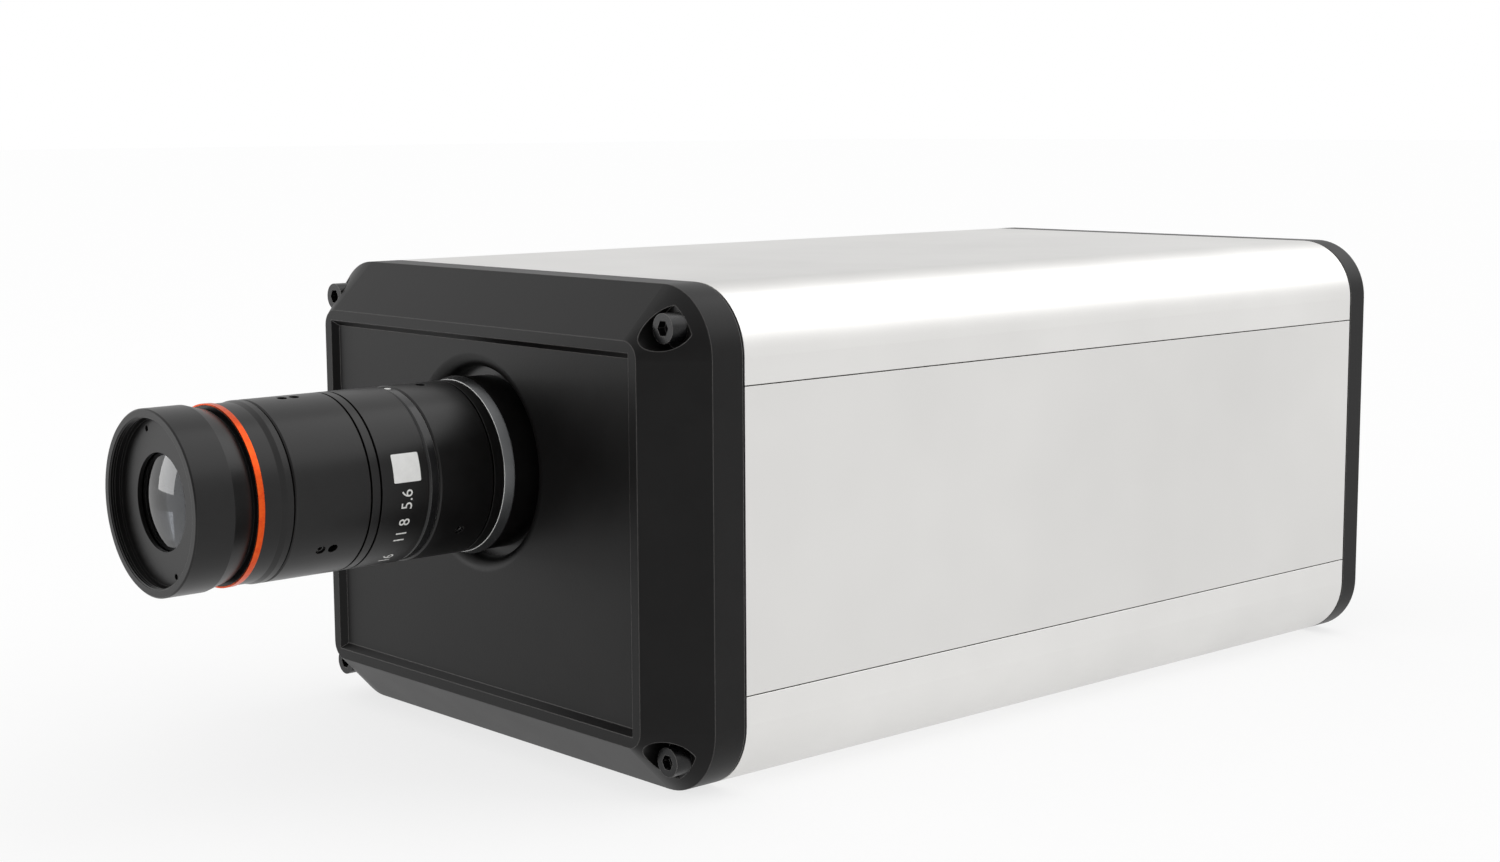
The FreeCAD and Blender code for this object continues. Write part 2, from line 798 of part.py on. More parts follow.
frontCover, feature = coverBlank("front_cover", frontEnd, "-gasket_thickness", "0")
faceStation = -size("front_rim") - size("bevel_size")
bevelled(frontCover, feature, liesAt(faceStation), "bevel_size")
border = "%s - bevel_size - recess_border" % halfWidth
recess = oblong("-(%s)" % border, border, "bevel_size + recess_border",
                "body_height - bevel_size - recess_border")
feature = cutAlongY(frontCover, [recess], frontEnd, recessFloor)
bind(feature, "TaperAngle", "-recess_slope")
doc.recompute()
cavity = oblong(frameSpan[0], frameSpan[1], frameRise[0], frameRise[1])
cutAlongY(frontCover, [cavity], coverInside, "-gasket_thickness")
feature = cutAlongY(frontCover, [(("0", "lens_height"), "lens_hole")], recessFloor, coverInside)
rounded(frontCover, feature, lambda edge: liesAt(faceStation + size("recess_depth"))(edge)
        and len(edge.Vertexes) == 1, "lens_hole_lip")
cutAlongY(frontCover, [(centre, "screw_pocket") for centre in corners], frontEnd, "-screw_floor")
clearHoles = [(centre, "screw_shank + screw_clearance") for centre in corners]
cutAlongY(frontCover, clearHoles, "-screw_floor", "-gasket_thickness")
mountOffset = "mount_screw_circle * sqrt(0.5)"
mountCentres = []
for side in (mountOffset, "-" + mountOffset):
    for rise in (mountOffset, "-" + mountOffset):
        mountCentres.append((side, "lens_height + %s" % rise))
mountThreads = [(centre, "small_shank + thread_clearance") for centre in mountCentres]
mountFlangeRear = "(%s + mount_flange_length)" % coverInside
mountScrewTip = "(%s - mount_screw_length)" % mountFlangeRear
cutAlongY(frontCover, mountThreads, mountScrewTip + " - thread_runout", coverInside)
keep(frontCover, "front_cover")


def gasket(name, nearEnd, farEnd):
    body, feature = coverBlank(name, nearEnd, farEnd, "gasket_inset")
    window = oblong(frameSpan[0], frameSpan[1], frameRise[0], frameRise[1])
    holes = [(centre, "screw_shank + screw_clearance") for centre in corners]
    cutAlongY(body, [window] + holes, nearEnd, farEnd)
    return keep(body, name)


gasket("front_gasket", "-gasket_thickness", "0")
gasket("rear_gasket", "housing_length", rearInside)

frontScrews = []
rearScrews = []
rearFloor = "(%s - rear_counterbore)" % rearFace
for index, (side, height) in enumerate(corners):
    frontScrews.append(capScrew("front_screw_%d" % index, side, height, "-screw_floor",
                                "front_screw_length", -1))
    rearScrews.append(capScrew("rear_screw_%d" % index, side, height, rearFloor, "rear_screw_length", 1))
keep(grouped("front_cover_screws", frontScrews), "front_cover_screws")
keep(grouped("rear_cover_screws", rearScrews), "rear_cover_screws")


# Rear cover with its sockets, switch and lamp

socketCentres = [("-socket_side", "socket_low"), ("-socket_side", "socket_high")]
rearCover, feature = coverBlank("rear_cover", rearInside, rearFace, "0")
bevelled(rearCover, feature, liesAt(size("housing_length") + size("rear_depth")), "rear_edge")
cutAlongY(rearCover, [(centre, "screw_pocket") for centre in corners], rearFloor, rearFace)
cutAlongY(rearCover, clearHoles, rearInside, rearFloor)
socketHoles = [(centre, "socket_barrel + panel_hole_clearance") for centre in socketCentres]
lampHole = (("socket_side", "lamp_height"), "lamp_radius + panel_hole_clearance")
dataWidth = "(data_half_width + panel_hole_clearance)"
dataRise = "(data_half_height + panel_hole_clearance)"
dataHole = oblong("-" + dataWidth, dataWidth, "data_height - " + dataRise, "data_height + " + dataRise)
switchWidth = "(switch_half_width + panel_hole_clearance)"
switchRise = "(switch_half_height + panel_hole_clearance)"
switchHole = oblong("socket_side - " + switchWidth, "socket_side + " + switchWidth,
                    "switch_height - " + switchRise, "switch_height + " + switchRise)
cutAlongY(rearCover, socketHoles + [lampHole, dataHole, switchHole], rearInside, rearFace)
keep(rearCover, "rear_cover")

socketMouth = "(%s + socket_flange_length)" % rearFace
insertFace = "(%s - socket_depth)" % socketMouth
socketTail = "(%s - socket_inner)" % rearInside
shells = []
inserts = []
nuts = []
for index, centre in enumerate(socketCentres):
    profile = [
        ("socket_bore", socketTail), ("socket_barrel", socketTail), ("socket_barrel", rearFace),
        ("socket_flange", rearFace), ("socket_flange", socketMouth + " - edge_break"),
        ("socket_flange - edge_break", socketMouth), ("socket_bore", socketMouth),
    ]
    shells.append(turned("socket_shell_%d" % index, profile, centre))
    disc = rod("insert_disc_%d" % index, "Y", centre, "socket_bore - fit_clearance", (socketTail, insertFace))
    pins = []
    for number in range(4):
        angle = math.radians(45 + 90 * number)
        across = "%s + pin_circle * %.4f" % (centre[0], math.cos(angle))
        rise = "%s + pin_circle * %.4f" % (centre[1], math.sin(angle))
        span = (insertFace + " - pin_root", insertFace + " + pin_length")
        pins.append(rod("pin_%d_%d" % (index, number), "Y", (across, rise), "pin_radius", span))
    inserts.append(joined("socket_insert_%d" % index, [disc] + pins))
    nutSpan = ("%s - nut_length" % rearInside, rearInside)
    nuts.append(tube("socket_nut_%d" % index, "socket_barrel + fit_clearance", "socket_flange",
                     nutSpan[0], nutSpan[1], centre))
keep(grouped("round_sockets", shells), "round_sockets")
keep(grouped("socket_inserts", inserts), "socket_inserts")
keep(grouped("socket_nuts", nuts), "socket_nuts")

dataMouth = "(%s + data_flange_length)" % rearFace
dataFloor = "(%s - data_depth)" % dataMouth


def centredBlock(name, side, height, halfAcross, halfRise, ySpan):
    xSpan = ("%s - (%s)" % (side, halfAcross), "%s + (%s)" % (side, halfAcross))
    zSpan = ("%s - (%s)" % (height, halfRise), "%s + (%s)" % (height, halfRise))
    return block(name, xSpan, ySpan, zSpan)


dataCan = centredBlock("data_can", "0", "data_height", "data_half_width", "data_half_height",
                       (dataFloor + " - data_wall", dataMouth))
dataFlange = centredBlock("data_plate", "0", "data_height", "data_half_width + data_flange",
                          "data_half_height + data_flange", (rearFace, dataMouth))
dataRoom = centredBlock("data_room", "0", "data_height", "data_half_width - data_wall",
                        "data_half_height - data_wall", (dataFloor, dataMouth))
dataBlank = joined("data_blank", [dataCan, dataFlange])
keep(carved("data_socket", dataBlank, [dataRoom]), "data_socket")
keep(centredBlock("data_tongue", "0", "data_height", "tongue_half_width", "tongue_half_height",
                  (dataFloor, dataFloor + " + tongue_length")), "data_tongue")

switchMouth = "(%s + switch_bezel_length)" % rearFace
pivotStation = "(%s - rocker_pivot_inset)" % switchMouth
bezel = centredBlock("switch_plate", "socket_side", "switch_height", "switch_half_width + switch_bezel",
                     "switch_half_height + switch_bezel", (rearFace, switchMouth))
switchCase = centredBlock("switch_case", "socket_side", "switch_height", "switch_half_width",
                          "switch_half_height", ("%s - switch_body" % rearFace, rearFace))
rockerRoom = centredBlock("rocker_room", "socket_side", "switch_height", "rocker_half_width + rocker_gap",
                          "rocker_half_height + 2 * rocker_gap",
                          (pivotStation + " - rocker_depth - 4 * rocker_gap", switchMouth))
pinReach = "(rocker_half_width + rocker_gap + rocker_pin_reach)"
pinBore = rod("rocker_bore", "X", (pivotStation, "switch_height"), "rocker_pin + fit_clearance",
              ("socket_side - %s - rocker_pin_play" % pinReach,
               "socket_side + %s + rocker_pin_play" % pinReach))
keep(carved("switch_frame", joined("switch_blank", [bezel, switchCase]), [rockerRoom, pinBore]),
     "switch_frame")
rockerProfile = [
    ("-rocker_depth", "-rocker_base_share * rocker_half_height"),
    ("-rocker_depth", "rocker_base_share * rocker_half_height"),
    ("rocker_side_share * rocker_rise", "rocker_half_height"),
    ("rocker_rise", "rocker_half_height - rocker_edge"),
    ("rocker_dip", "0"),
    ("rocker_rise", "rocker_edge - rocker_half_height"),
    ("rocker_side_share * rocker_rise", "-rocker_half_height"),
]
rockerBody = doc.addObject("PartDesign::Body", "rocker_cap")
rockerSketch = sketchOn(rockerBody, "YZ_Plane", "-rocker_half_width")
drawPolygon(rockerSketch, rockerProfile)
rockerPad = rockerBody.newObject("PartDesign::Pad", "rocker_pad")
rockerPad.Profile = rockerSketch
bind(rockerPad, "Length", "2 * rocker_half_width")
rockerBody.Placement = FreeCAD.Placement(Vector(), Rotation(Vector(1, 0, 0), size("rocker_tilt")))
bind(rockerBody, "Placement.Base.x", "socket_side")
bind(rockerBody, "Placement.Base.y", fromFront(pivotStation))
bind(rockerBody, "Placement.Base.z", "switch_height")
rockerPin = rod("rocker_axle", "X", (pivotStation, "switch_height"), "rocker_pin",
                ("socket_side - " + pinReach, "socket_side + " + pinReach))
keep(joined("power_rocker", [rockerBody, rockerPin]), "power_rocker")

lampProfile = [
    ("0", "%s - lamp_length" % rearFace), ("lamp_radius", "%s - lamp_length" % rearFace),
    ("lamp_radius", rearFace), ("lamp_radius + lamp_flange", rearFace),
    ("lamp_radius + lamp_flange", rearFace + " + lamp_flange_length"),
    ("lamp_dome_share * lamp_radius", rearFace + " + lamp_rise"), ("0", rearFace + " + lamp_rise"),
]
keep(turned("status_lamp", lampProfile, ("socket_side", "lamp_height")), "status_lamp")


# Lens mount: a flange behind the front cover whose boss comes out through the hole

mountProfile = [
    ("thread_radius", seatAt), ("mount_boss", seatAt), ("mount_boss", coverInside),
    ("mount_flange", coverInside), ("mount_flange", mountFlangeRear), ("mount_light_bore", mountFlangeRear),
    ("mount_light_bore", seatAt + " + mount_bore_depth"), ("thread_radius", seatAt + " + mount_bore_depth"),
]
mountBlank = turned("lens_mount_blank", mountProfile)
mountHoles = []
mountScrews = []
for index, centre in enumerate(mountCentres):
    span = (coverInside, mountFlangeRear)
    mountHoles.append(rod("mount_hole_%d" % index, "Y", centre, "small_shank + screw_clearance", span))
    shank = rod("mount_shank_%d" % index, "Y", centre, "small_shank", (mountScrewTip, mountFlangeRear))
    headSpan = (mountFlangeRear, mountFlangeRear + " + small_head_height")
    head = rod("mount_head_%d" % index, "Y", centre, "small_head", headSpan)
    mountScrews.append(joined("mount_screw_%d" % index, [shank, head]))
keep(carved("lens_mount", mountBlank, mountHoles), "lens_mount")
keep(grouped("mount_screws", mountScrews), "mount_screws")


# Lens barrel, rings and glass

barrelThread = "thread_radius - fit_clearance"
barrelTail = "(%s + thread_depth)" % seatAt
guideFloor = "(%s + guide_length + guide_end_gap)" % focusEnd
diaphragmSeat = "(%s - diaphragm_setback)" % seatAt
rearGlassSeat = "(%s - rear_glass_setback)" % seatAt
fixedProfile = [
    (barrelThread, barrelTail), (barrelThread, seatAt), ("neck_radius", seatAt), ("neck_radius", ringAt),
    ("barrel_radius - edge_break", ringAt), ("barrel_radius", ringAt + " - edge_break"),
    ("barrel_radius", lipAt), ("iris_seat", lipAt), ("iris_seat", indexAt), ("index_seat", indexAt),
    ("index_seat", indexEnd), ("barrel_radius - edge_break", indexEnd),
    ("barrel_radius", indexEnd + " - edge_break"), ("barrel_radius", bandEnd),
    ("ring_seat", bandEnd), ("ring_seat", focusEnd), ("guide_radius", focusEnd),
    ("guide_radius", guideFloor), ("diaphragm_radius + fit_clearance", guideFloor),
    ("diaphragm_radius + fit_clearance", diaphragmSeat), ("rear_shelf", diaphragmSeat),
    ("rear_shelf", rearGlassSeat), ("rear_glass_radius + fit_clearance", rearGlassSeat),
    ("rear_glass_radius + fit_clearance", barrelTail),
]
keep(turned("fixed_barrel", fixedProfile), "fixed_barrel")

mountRingProfile = [
    ("neck_radius + fit_clearance", seatAt), ("mount_ring_radius - edge_break", seatAt),
    ("mount_ring_radius", seatAt + " - edge_break"), ("barrel_radius + mount_ring_lip", ringAt),
    ("neck_radius + fit_clearance", ringAt),
]
keep(turned("mount_ring", mountRingProfile), "mount_ring")

indexProfile = [
    ("index_seat + fit_clearance", indexAt), ("index_ring_radius", indexAt),
    ("index_ring_radius", indexEnd + " + 2 * edge_break"), ("index_ring_radius - edge_break", indexEnd),
    ("index_seat + fit_clearance", indexEnd),
]
keep(turned("index_ring", indexProfile), "index_ring")

stopProfile = [
    ("ring_seat + fit_clearance", bandEnd), ("barrel_radius - groove_depth", bandEnd),
    ("barrel_radius - groove_depth", bandEnd + " - stop_groove"),
    ("barrel_radius", bandEnd + " - stop_groove"), ("barrel_radius", stopEnd),
    ("ring_seat + fit_clearance", stopEnd),
]
keep(turned("stop_ring", stopProfile), "stop_ring")


def grippedRing(name, seat, nearEnd, farEnd, spare):
    """A ring that turns on the barrel, with lock screws at three angles and perhaps a spare hole by each."""
    bore = seat + " + fit_clearance"
    profile = [
        (bore, nearEnd), ("barrel_radius - edge_break", nearEnd),
        ("barrel_radius", nearEnd + " + edge_break"), ("barrel_radius", farEnd + " - edge_break"),
        ("barrel_radius - edge_break", farEnd), (bore, farEnd),
    ]
    blank = turned(name + "_blank", profile)
    holes = []
    screws = []
    middle = "((%s) + (%s)) / 2" % (nearEnd, farEnd)
    screwStation = middle + " - lock_pair_pitch / 2" if spare else middle
    screwTop = "(barrel_radius - lock_recess)"
    for index in range(3):
        angle = size("lock_angle") + 120 * index
        label = "%s_%d" % (name, index)
        holes.append(spoke(label + "_tap", screwStation, angle,
                           "lock_radius + fit_clearance", "barrel_radius + tool_overrun"))
        if spare:
            holes.append(spoke(label + "_spare", middle + " + lock_pair_pitch / 2", angle,
                               "lock_radius + fit_clearance", "barrel_radius + tool_overrun"))
        grub = spoke(label + "_grub", screwStation, angle, "lock_radius", screwTop)
        core = rod(label + "_core", "Y", ("0", "lens_height"), bore, (nearEnd, farEnd))
        socket = spokeSocket(label + "_socket", screwStation, angle, "lock_hex",
                             screwTop + " - lock_hex_depth", "barrel_radius")
        screws.append(carved(label + "_screw", grub, [core, socket]))
    ring = keep(carved(name, blank, holes), name)
    keep(grouped(name + "_lock_screws", screws), name + "_lock_screws")
    return ring


grippedRing("iris_ring", "iris_seat", irisEnd, irisAt, spare=False)
grippedRing("focus_ring", "ring_seat", focusEnd, focusAt, spare=True)

glassSeat = "(%s + glass_gap + front_glass_length - front_glass_bulge)" % retainerSeat
innerGlassSeat = "(%s + inner_glass_setback)" % lensFront
tubeRear = "(%s + guide_length)" % focusEnd
frontProfile = [
    ("guide_radius - fit_clearance", tubeRear), ("guide_radius - fit_clearance", shoulderAt),
    ("barrel_radius - edge_break", shoulderAt), ("barrel_radius", shoulderAt + " - edge_break"),
    ("barrel_radius", shoulderAt + " - shoulder_land"),
    ("barrel_radius - shoulder_drop", shoulderAt + " - shoulder_land - shoulder_taper"),
    ("barrel_radius - shoulder_drop", accentAt), (accentSeat, accentAt), (accentSeat, accentEnd),
    ("accent_groove", accentEnd), ("accent_groove", gapEnd),
    ("hood_radius - hood_taper_depth", gapEnd), ("hood_radius", taperEnd),
    ("hood_radius", lensFront + " + edge_break"), ("hood_radius - edge_break", lensFront),
    ("filter_thread", lensFront), ("filter_thread", lensFront + " + filter_thread_length"),
    ("filter_thread + filter_relief", lensFront + " + filter_thread_length"),
    ("filter_thread + filter_relief", filterFloor),
    ("retainer_radius + fit_clearance", filterFloor), ("retainer_radius + fit_clearance", retainerSeat),
    ("front_glass_radius + fit_clearance", retainerSeat), ("front_glass_radius + fit_clearance", glassSeat),
    ("front_shelf", glassSeat), ("inner_shelf", innerGlassSeat),
    ("inner_glass_radius + fit_clearance", innerGlassSeat), ("inner_glass_radius + fit_clearance", tubeRear),
]
keep(turned("front_barrel", frontProfile), "front_barrel")
keep(tube("accent_ring", "accent_radius - accent_wall", "accent_radius", accentEnd, accentAt), "accent_ring")

retainerBlank = tube("retainer_blank", "front_aperture", "retainer_radius", filterFloor, retainerSeat)
spannerHoles = []
for index in range(2):
    angle = math.radians(size("spanner_angle") + 180 * index)
    across = "spanner_radius * %.4f" % math.cos(angle)
    rise = "lens_height + spanner_radius * %.4f" % math.sin(angle)
    spannerHoles.append(rod("spanner_%d" % index, "Y", (across, rise), "spanner_hole",
                            (filterFloor, filterFloor + " + spanner_depth")))
keep(carved("retaining_ring", retainerBlank, spannerHoles), "retaining_ring")

keep(domed("front_element", "front_glass_radius", "front_glass_curve", glassSeat, "front_glass_length",
           backwards=False), "front_element")
keep(domed("inner_element", "inner_glass_radius", "inner_glass_curve", innerGlassSeat,
           "inner_glass_length"), "inner_element")
innerRingAt = "(%s + inner_retainer_setback)" % innerGlassSeat
keep(tube("inner_retainer", "inner_retainer_bore", "inner_glass_radius", innerRingAt,
          innerRingAt + " + inner_retainer_length"), "inner_retainer")
keep(tube("iris_diaphragm", "diaphragm_opening", "diaphragm_radius",
          diaphragmSeat + " - diaphragm_length", diaphragmSeat), "iris_diaphragm")
keep(domed("rear_element", "rear_glass_radius", "rear_glass_curve", rearGlassSeat,
           "rear_glass_length"), "rear_element")
rearRingAt = "(%s + rear_retainer_setback)" % rearGlassSeat
keep(tube("rear_retainer", "rear_retainer_bore", "rear_glass_radius", rearRingAt,
          rearRingAt + " + rear_retainer_length"), "rear_retainer")


# Scanning bench: a plate on posts, two rails across it and a carriage on them

bench = block("bench_blank", ("-bench_half_width", "bench_half_width"), ("bench_start", "bench_end"),
              ("bench_bottom", benchTop))
benchHoles = []
benchScrews = []
for index, centre in enumerate(postCentres):
    benchHoles.append(rod("bench_hole_%d" % index, "Z", centre, "screw_shank + screw_clearance",
                          ("bench_bottom", benchTop)))
    head = rod("bench_head_%d" % index, "Z", centre, "screw_head",
               (benchTop, benchTop + " + screw_head_height"))
    shank = rod("bench_shank_%d" % index, "Z", centre, "screw_shank",
                (benchTop + " - bench_screw_length", benchTop))
    benchScrews.append(joined("bench_screw_%d" % index, [head, shank]))
keep(carved("optical_bench", bench, benchHoles), "optical_bench")
keep(grouped("bench_screws", benchScrews), "bench_screws")

rails = []
blocks = []
for index, start in enumerate(("front_rail_start", "rear_rail_start")):
    railSpan = (start, start + " + rail_width")
    station = "(%s + rail_width / 2)" % start
    rails.append(block("rail_%d" % index, ("-rail_half_length", "rail_half_length"), railSpan,
                       (benchTop, benchTop + " + rail_height")))
    body = block("block_body_%d" % index, ("-block_half_length", "block_half_length"),
                 ("%s - block_width / 2" % station, "%s + block_width / 2" % station),
                 (benchTop + " + block_lift", plateLow))
    channel = block("block_channel_%d" % index, ("-block_half_length", "block_half_length"),
                    (railSpan[0] + " - fit_clearance", railSpan[1] + " + fit_clearance"),
                    (benchTop + " + block_lift", benchTop + " + rail_height + rail_clearance"))
    blocks.append(carved("block_%d" % index, body, [channel]))
keep(grouped("scan_rails", rails), "scan_rails")
keep(grouped("rail_blocks", blocks), "rail_blocks")
keep(block("carriage_plate", ("-plate_half_width", "plate_half_width"), ("plate_start", "plate_end"),
           (plateLow, plateTop)), "carriage_plate")

driveCentre = (driveStation, driveHeight)
nutBody = block("nut_body", ("-nut_half_width", "nut_half_width"), ("plate_end", "plate_end + nut_depth"),
                (driveHeight + " - nut_half_height", driveHeight + " + nut_half_height"))
nutBore = rod("nut_bore", "X", driveCentre, "drive_screw_radius + fit_clearance",
              ("-nut_half_width", "nut_half_width"))
keep(carved("lead_nut", nutBody, [nutBore]), "lead_nut")
motorSide = "motor_size / 2"
motorBody = block("motor_body", ("motor_start", "motor_start + motor_length"),
                  ("%s - %s" % (driveStation, motorSide), "%s + %s" % (driveStation, motorSide)),
                  (benchTop, benchTop + " + motor_size"))
motorBoss = rod("motor_face", "X", driveCentre, "motor_boss",
                ("motor_start - motor_boss_length", "motor_start"))
shaftEnd = "(motor_start + motor_shaft_bore)"
motorBore = rod("motor_bore", "X", driveCentre, "drive_screw_radius + fit_clearance",
                ("motor_start - motor_boss_length", shaftEnd + " + motor_shaft_play"))
keep(carved("scan_motor", joined("motor_blank", [motorBody, motorBoss]), [motorBore]), "scan_motor")
keep(rod("lead_screw", "X", driveCentre, "drive_screw_radius", ("-bearing_end", shaftEnd)), "lead_screw")
bearingBody = block("bearing_body", ("-bearing_end", "bearing_length - bearing_end"),
                    ("%s - nut_depth / 2" % driveStation, "%s + nut_depth / 2" % driveStation),
                    (benchTop, driveHeight + " + nut_half_height"))
bearingBore = rod("bearing_bore", "X", driveCentre, "drive_screw_radius + fit_clearance",
                  ("-bearing_end", "bearing_length - bearing_end"))
keep(carved("bearing_block", bearingBody, [bearingBore]), "bearing_block")


# Spectrograph: slit, collimating glass, grating and imaging glass in one tube

axisCentre = ("0", "lens_height")
slitAt = "(slit_setback - lens_seat)"
slitBack = "(%s + slit_plate_thickness)" % slitAt
slitDisc = rod("slit_disc", "Y", axisCentre, "slit_plate_radius", (slitAt, slitBack))
slitSlot = centredBlock("slit_slot", "0", "lens_height", "slit_width / 2", "slit_height / 2",
                        (slitAt, slitBack))
keep(carved("slit_plate", slitDisc, [slitSlot]), "slit_plate")
keep(tube("slit_holder", "tube_opening", "slit_holder_radius", slitBack, "tube_start"), "slit_holder")
tubeBore = "tube_radius - tube_wall"
tubeProfile = [
    ("tube_opening", "tube_start"), ("tube_radius", "tube_start"), ("tube_radius", "tube_end"),
    (tubeBore, "tube_end"), (tubeBore, "tube_start + tube_front_wall"),
    ("tube_opening", "tube_start + tube_front_wall"),
]
keep(turned("spectrograph_tube", tubeProfile), "spectrograph_tube")
spacerSpans = [
    ("tube_start + tube_front_wall", "collimator_start"),
    ("collimator_start + collimator_edge", "grating_start"),
    ("grating_start + grating_length", "imaging_start"),
    ("imaging_start + imaging_edge", "tube_end"),
]
spacers = []
for index, span in enumerate(spacerSpans):
    spacers.append(tube("spacer_%d" % index, "spacer_bore", "optics_radius", span[0], span[1]))
keep(grouped("optics_spacers", spacers), "optics_spacers")
keep(domed("collimating_lens", "optics_radius", "collimator_curve", "collimator_start", "collimator_length"),
     "collimating_lens")
keep(rod("grating", "Y", axisCentre, "optics_radius", ("grating_start", "grating_start + grating_length")),
     "grating")
keep(domed("imaging_lens", "optics_radius", "imaging_curve", "imaging_start", "imaging_length"),
     "imaging_lens")

saddles = []
caps = []
for index, station in enumerate(("front_saddle_start", "rear_saddle_start")):
    span = (station, station + " + saddle_length")
    lower = block("saddle_body_%d" % index, ("-saddle_half_width", "saddle_half_width"), span,
                  (plateTop, "lens_height"))
    saddleBore = rod("saddle_bore_%d" % index, "Y", axisCentre, "tube_radius + fit_clearance", span)
    saddles.append(carved("saddle_%d" % index, lower, [saddleBore]))
    flange = block("cap_flange_%d" % index, ("-saddle_half_width", "saddle_half_width"), span,
                   ("lens_height", "lens_height + cap_flange"))
    dome = rod("cap_dome_%d" % index, "Y", axisCentre, "cap_radius", span)
    under = block("cap_under_%d" % index, ("-saddle_half_width", "saddle_half_width"), span,
                  (plateTop, "lens_height"))
    capBore = rod("cap_bore_%d" % index, "Y", axisCentre, "tube_radius + fit_clearance", span)
    caps.append(carved("cap_%d" % index, joined("cap_blank_%d" % index, [flange, dome]), [capBore, under]))
keep(grouped("clamp_saddles", saddles), "clamp_saddles")
keep(grouped("clamp_caps", caps), "clamp_caps")

cameraEnd = "(tube_end + camera_length)"
cameraRoom = "camera_half_size - camera_wall"
cameraCan = centredBlock("camera_can", "0", "lens_height", "camera_half_size", "camera_half_size",
                         ("tube_end", cameraEnd))
cameraSpace = centredBlock("camera_space", "0", "lens_height", cameraRoom, cameraRoom,
                           ("tube_end + camera_wall", cameraEnd))
cameraPort = rod("camera_port", "Y", axisCentre, "spacer_bore",
                 ("tube_end", "tube_end + camera_wall"))
keep(carved("camera_body", cameraCan, [cameraSpace, cameraPort]), "camera_body")
boardFront = "(tube_end + sensor_setback)"
boardHalf = cameraRoom + " - optics_gap"
keep(centredBlock("sensor_board", "0", "lens_height", boardHalf, boardHalf,
                  (boardFront, boardFront + " + board_thickness")), "sensor_board")
keep(centredBlock("sensor_chip", "0", "lens_height", "sensor_half_size", "sensor_half_size",
                  (boardFront + " - sensor_thickness", boardFront)), "sensor_chip")
sinkBase = centredBlock("sink_base_plate", "0", "lens_height", "sink_half_size", "sink_half_size",
                        (cameraEnd, cameraEnd + " + sink_base"))
fins = [sinkBase]
finCount = 7
for index in range(finCount):
    share = 2.0 * index / (finCount - 1) - 1.0
    middle = "%.4f * (sink_half_size - sink_fin_thickness / 2)" % share
    fins.append(centredBlock("sink_fin_%d" % index, middle, "lens_height", "sink_fin_thickness / 2",
                             "sink_half_size",
                             (cameraEnd + " + sink_base", cameraEnd + " + sink_base + sink_fin")))
keep(joined("sensor_heat_sink", fins), "sensor_heat_sink")

keep(block("main_board", ("-board_half_width", "board_half_width"), ("board_start", "board_end"),
           ("board_height", "board_height + board_thickness")), "main_board")


# Check the whole document, then write each sub-part

doc.recompute()
for thing in doc.Objects:
    if "Invalid" in thing.State or "Error" in thing.State:
        raise RuntimeError("%s failed: %s" % (thing.Name, thing.State))
os.makedirs("parts", exist_ok=True)
for thing in subParts:
    if thing.Shape.isNull() or not thing.Shape.isValid():
        raise RuntimeError(thing.Label + " has no valid shape")
    thing.Shape.exportStep("parts/%s.step" % thing.Label)
print(len(subParts), "sub-parts written")
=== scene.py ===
import math
import bmesh
import bpy
from mathutils import Matrix, Vector
from mathutils.bvhtree import BVHTree


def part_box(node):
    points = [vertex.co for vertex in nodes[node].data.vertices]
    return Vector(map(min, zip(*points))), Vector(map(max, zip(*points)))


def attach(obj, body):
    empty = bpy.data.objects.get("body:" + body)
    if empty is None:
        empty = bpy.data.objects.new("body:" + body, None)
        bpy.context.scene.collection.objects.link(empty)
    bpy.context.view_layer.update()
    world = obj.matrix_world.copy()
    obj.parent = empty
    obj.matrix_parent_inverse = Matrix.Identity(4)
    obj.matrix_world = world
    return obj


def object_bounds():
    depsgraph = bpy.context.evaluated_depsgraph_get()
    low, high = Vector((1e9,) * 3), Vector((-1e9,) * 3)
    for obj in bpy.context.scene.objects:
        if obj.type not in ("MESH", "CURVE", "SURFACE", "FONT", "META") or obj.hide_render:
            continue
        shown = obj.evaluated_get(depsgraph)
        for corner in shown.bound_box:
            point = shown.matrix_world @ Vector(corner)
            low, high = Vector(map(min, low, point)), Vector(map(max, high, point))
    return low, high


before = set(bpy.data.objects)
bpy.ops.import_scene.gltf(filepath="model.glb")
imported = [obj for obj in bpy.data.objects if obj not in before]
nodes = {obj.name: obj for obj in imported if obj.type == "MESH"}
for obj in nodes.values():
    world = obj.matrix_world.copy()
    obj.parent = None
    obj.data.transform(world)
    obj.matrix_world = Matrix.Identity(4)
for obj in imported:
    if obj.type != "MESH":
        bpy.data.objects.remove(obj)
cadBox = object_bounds()
print("frame loaded with", len(nodes), "pieces")

# The lens turns about a line along Y: its radius and height come from the frame.
bandLow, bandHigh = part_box("fixed_barrel")
lensAxis = {"x": 0.0, "z": (bandLow.z + bandHigh.z) / 2}
lensRadius = (bandHigh.z - bandLow.z) / 2


def linearColour(hexCode):  # sRGB hex to the linear values that the sockets hold
    channels = [int(hexCode[start:start + 2], 16) / 255 for start in (0, 2, 4)]
    return tuple(c / 12.92 if c <= 0.04045 else ((c + 0.055) / 1.055) ** 2.4 for c in channels) + (1.0,)


def addNode(owner, kind, settings=None, links=None):
    node = owner.node_tree.nodes.new(kind)
    for name, value in (settings or {}).items():
        if name in node.inputs:
            node.inputs[name].default_value = value
        else:
            setattr(node, name, value)
    for name, source in (links or {}).items():
        owner.node_tree.links.new(source, node.inputs[name])
    return node


def newMaterial(name):
    material = bpy.data.materials.new(name)
    material.use_nodes = True
    material.node_tree.nodes.clear()
    return material


def cyclesPerMetre(millimetres):  # how often a pattern of this size comes back in a metre
    return 1000.0 / millimetres


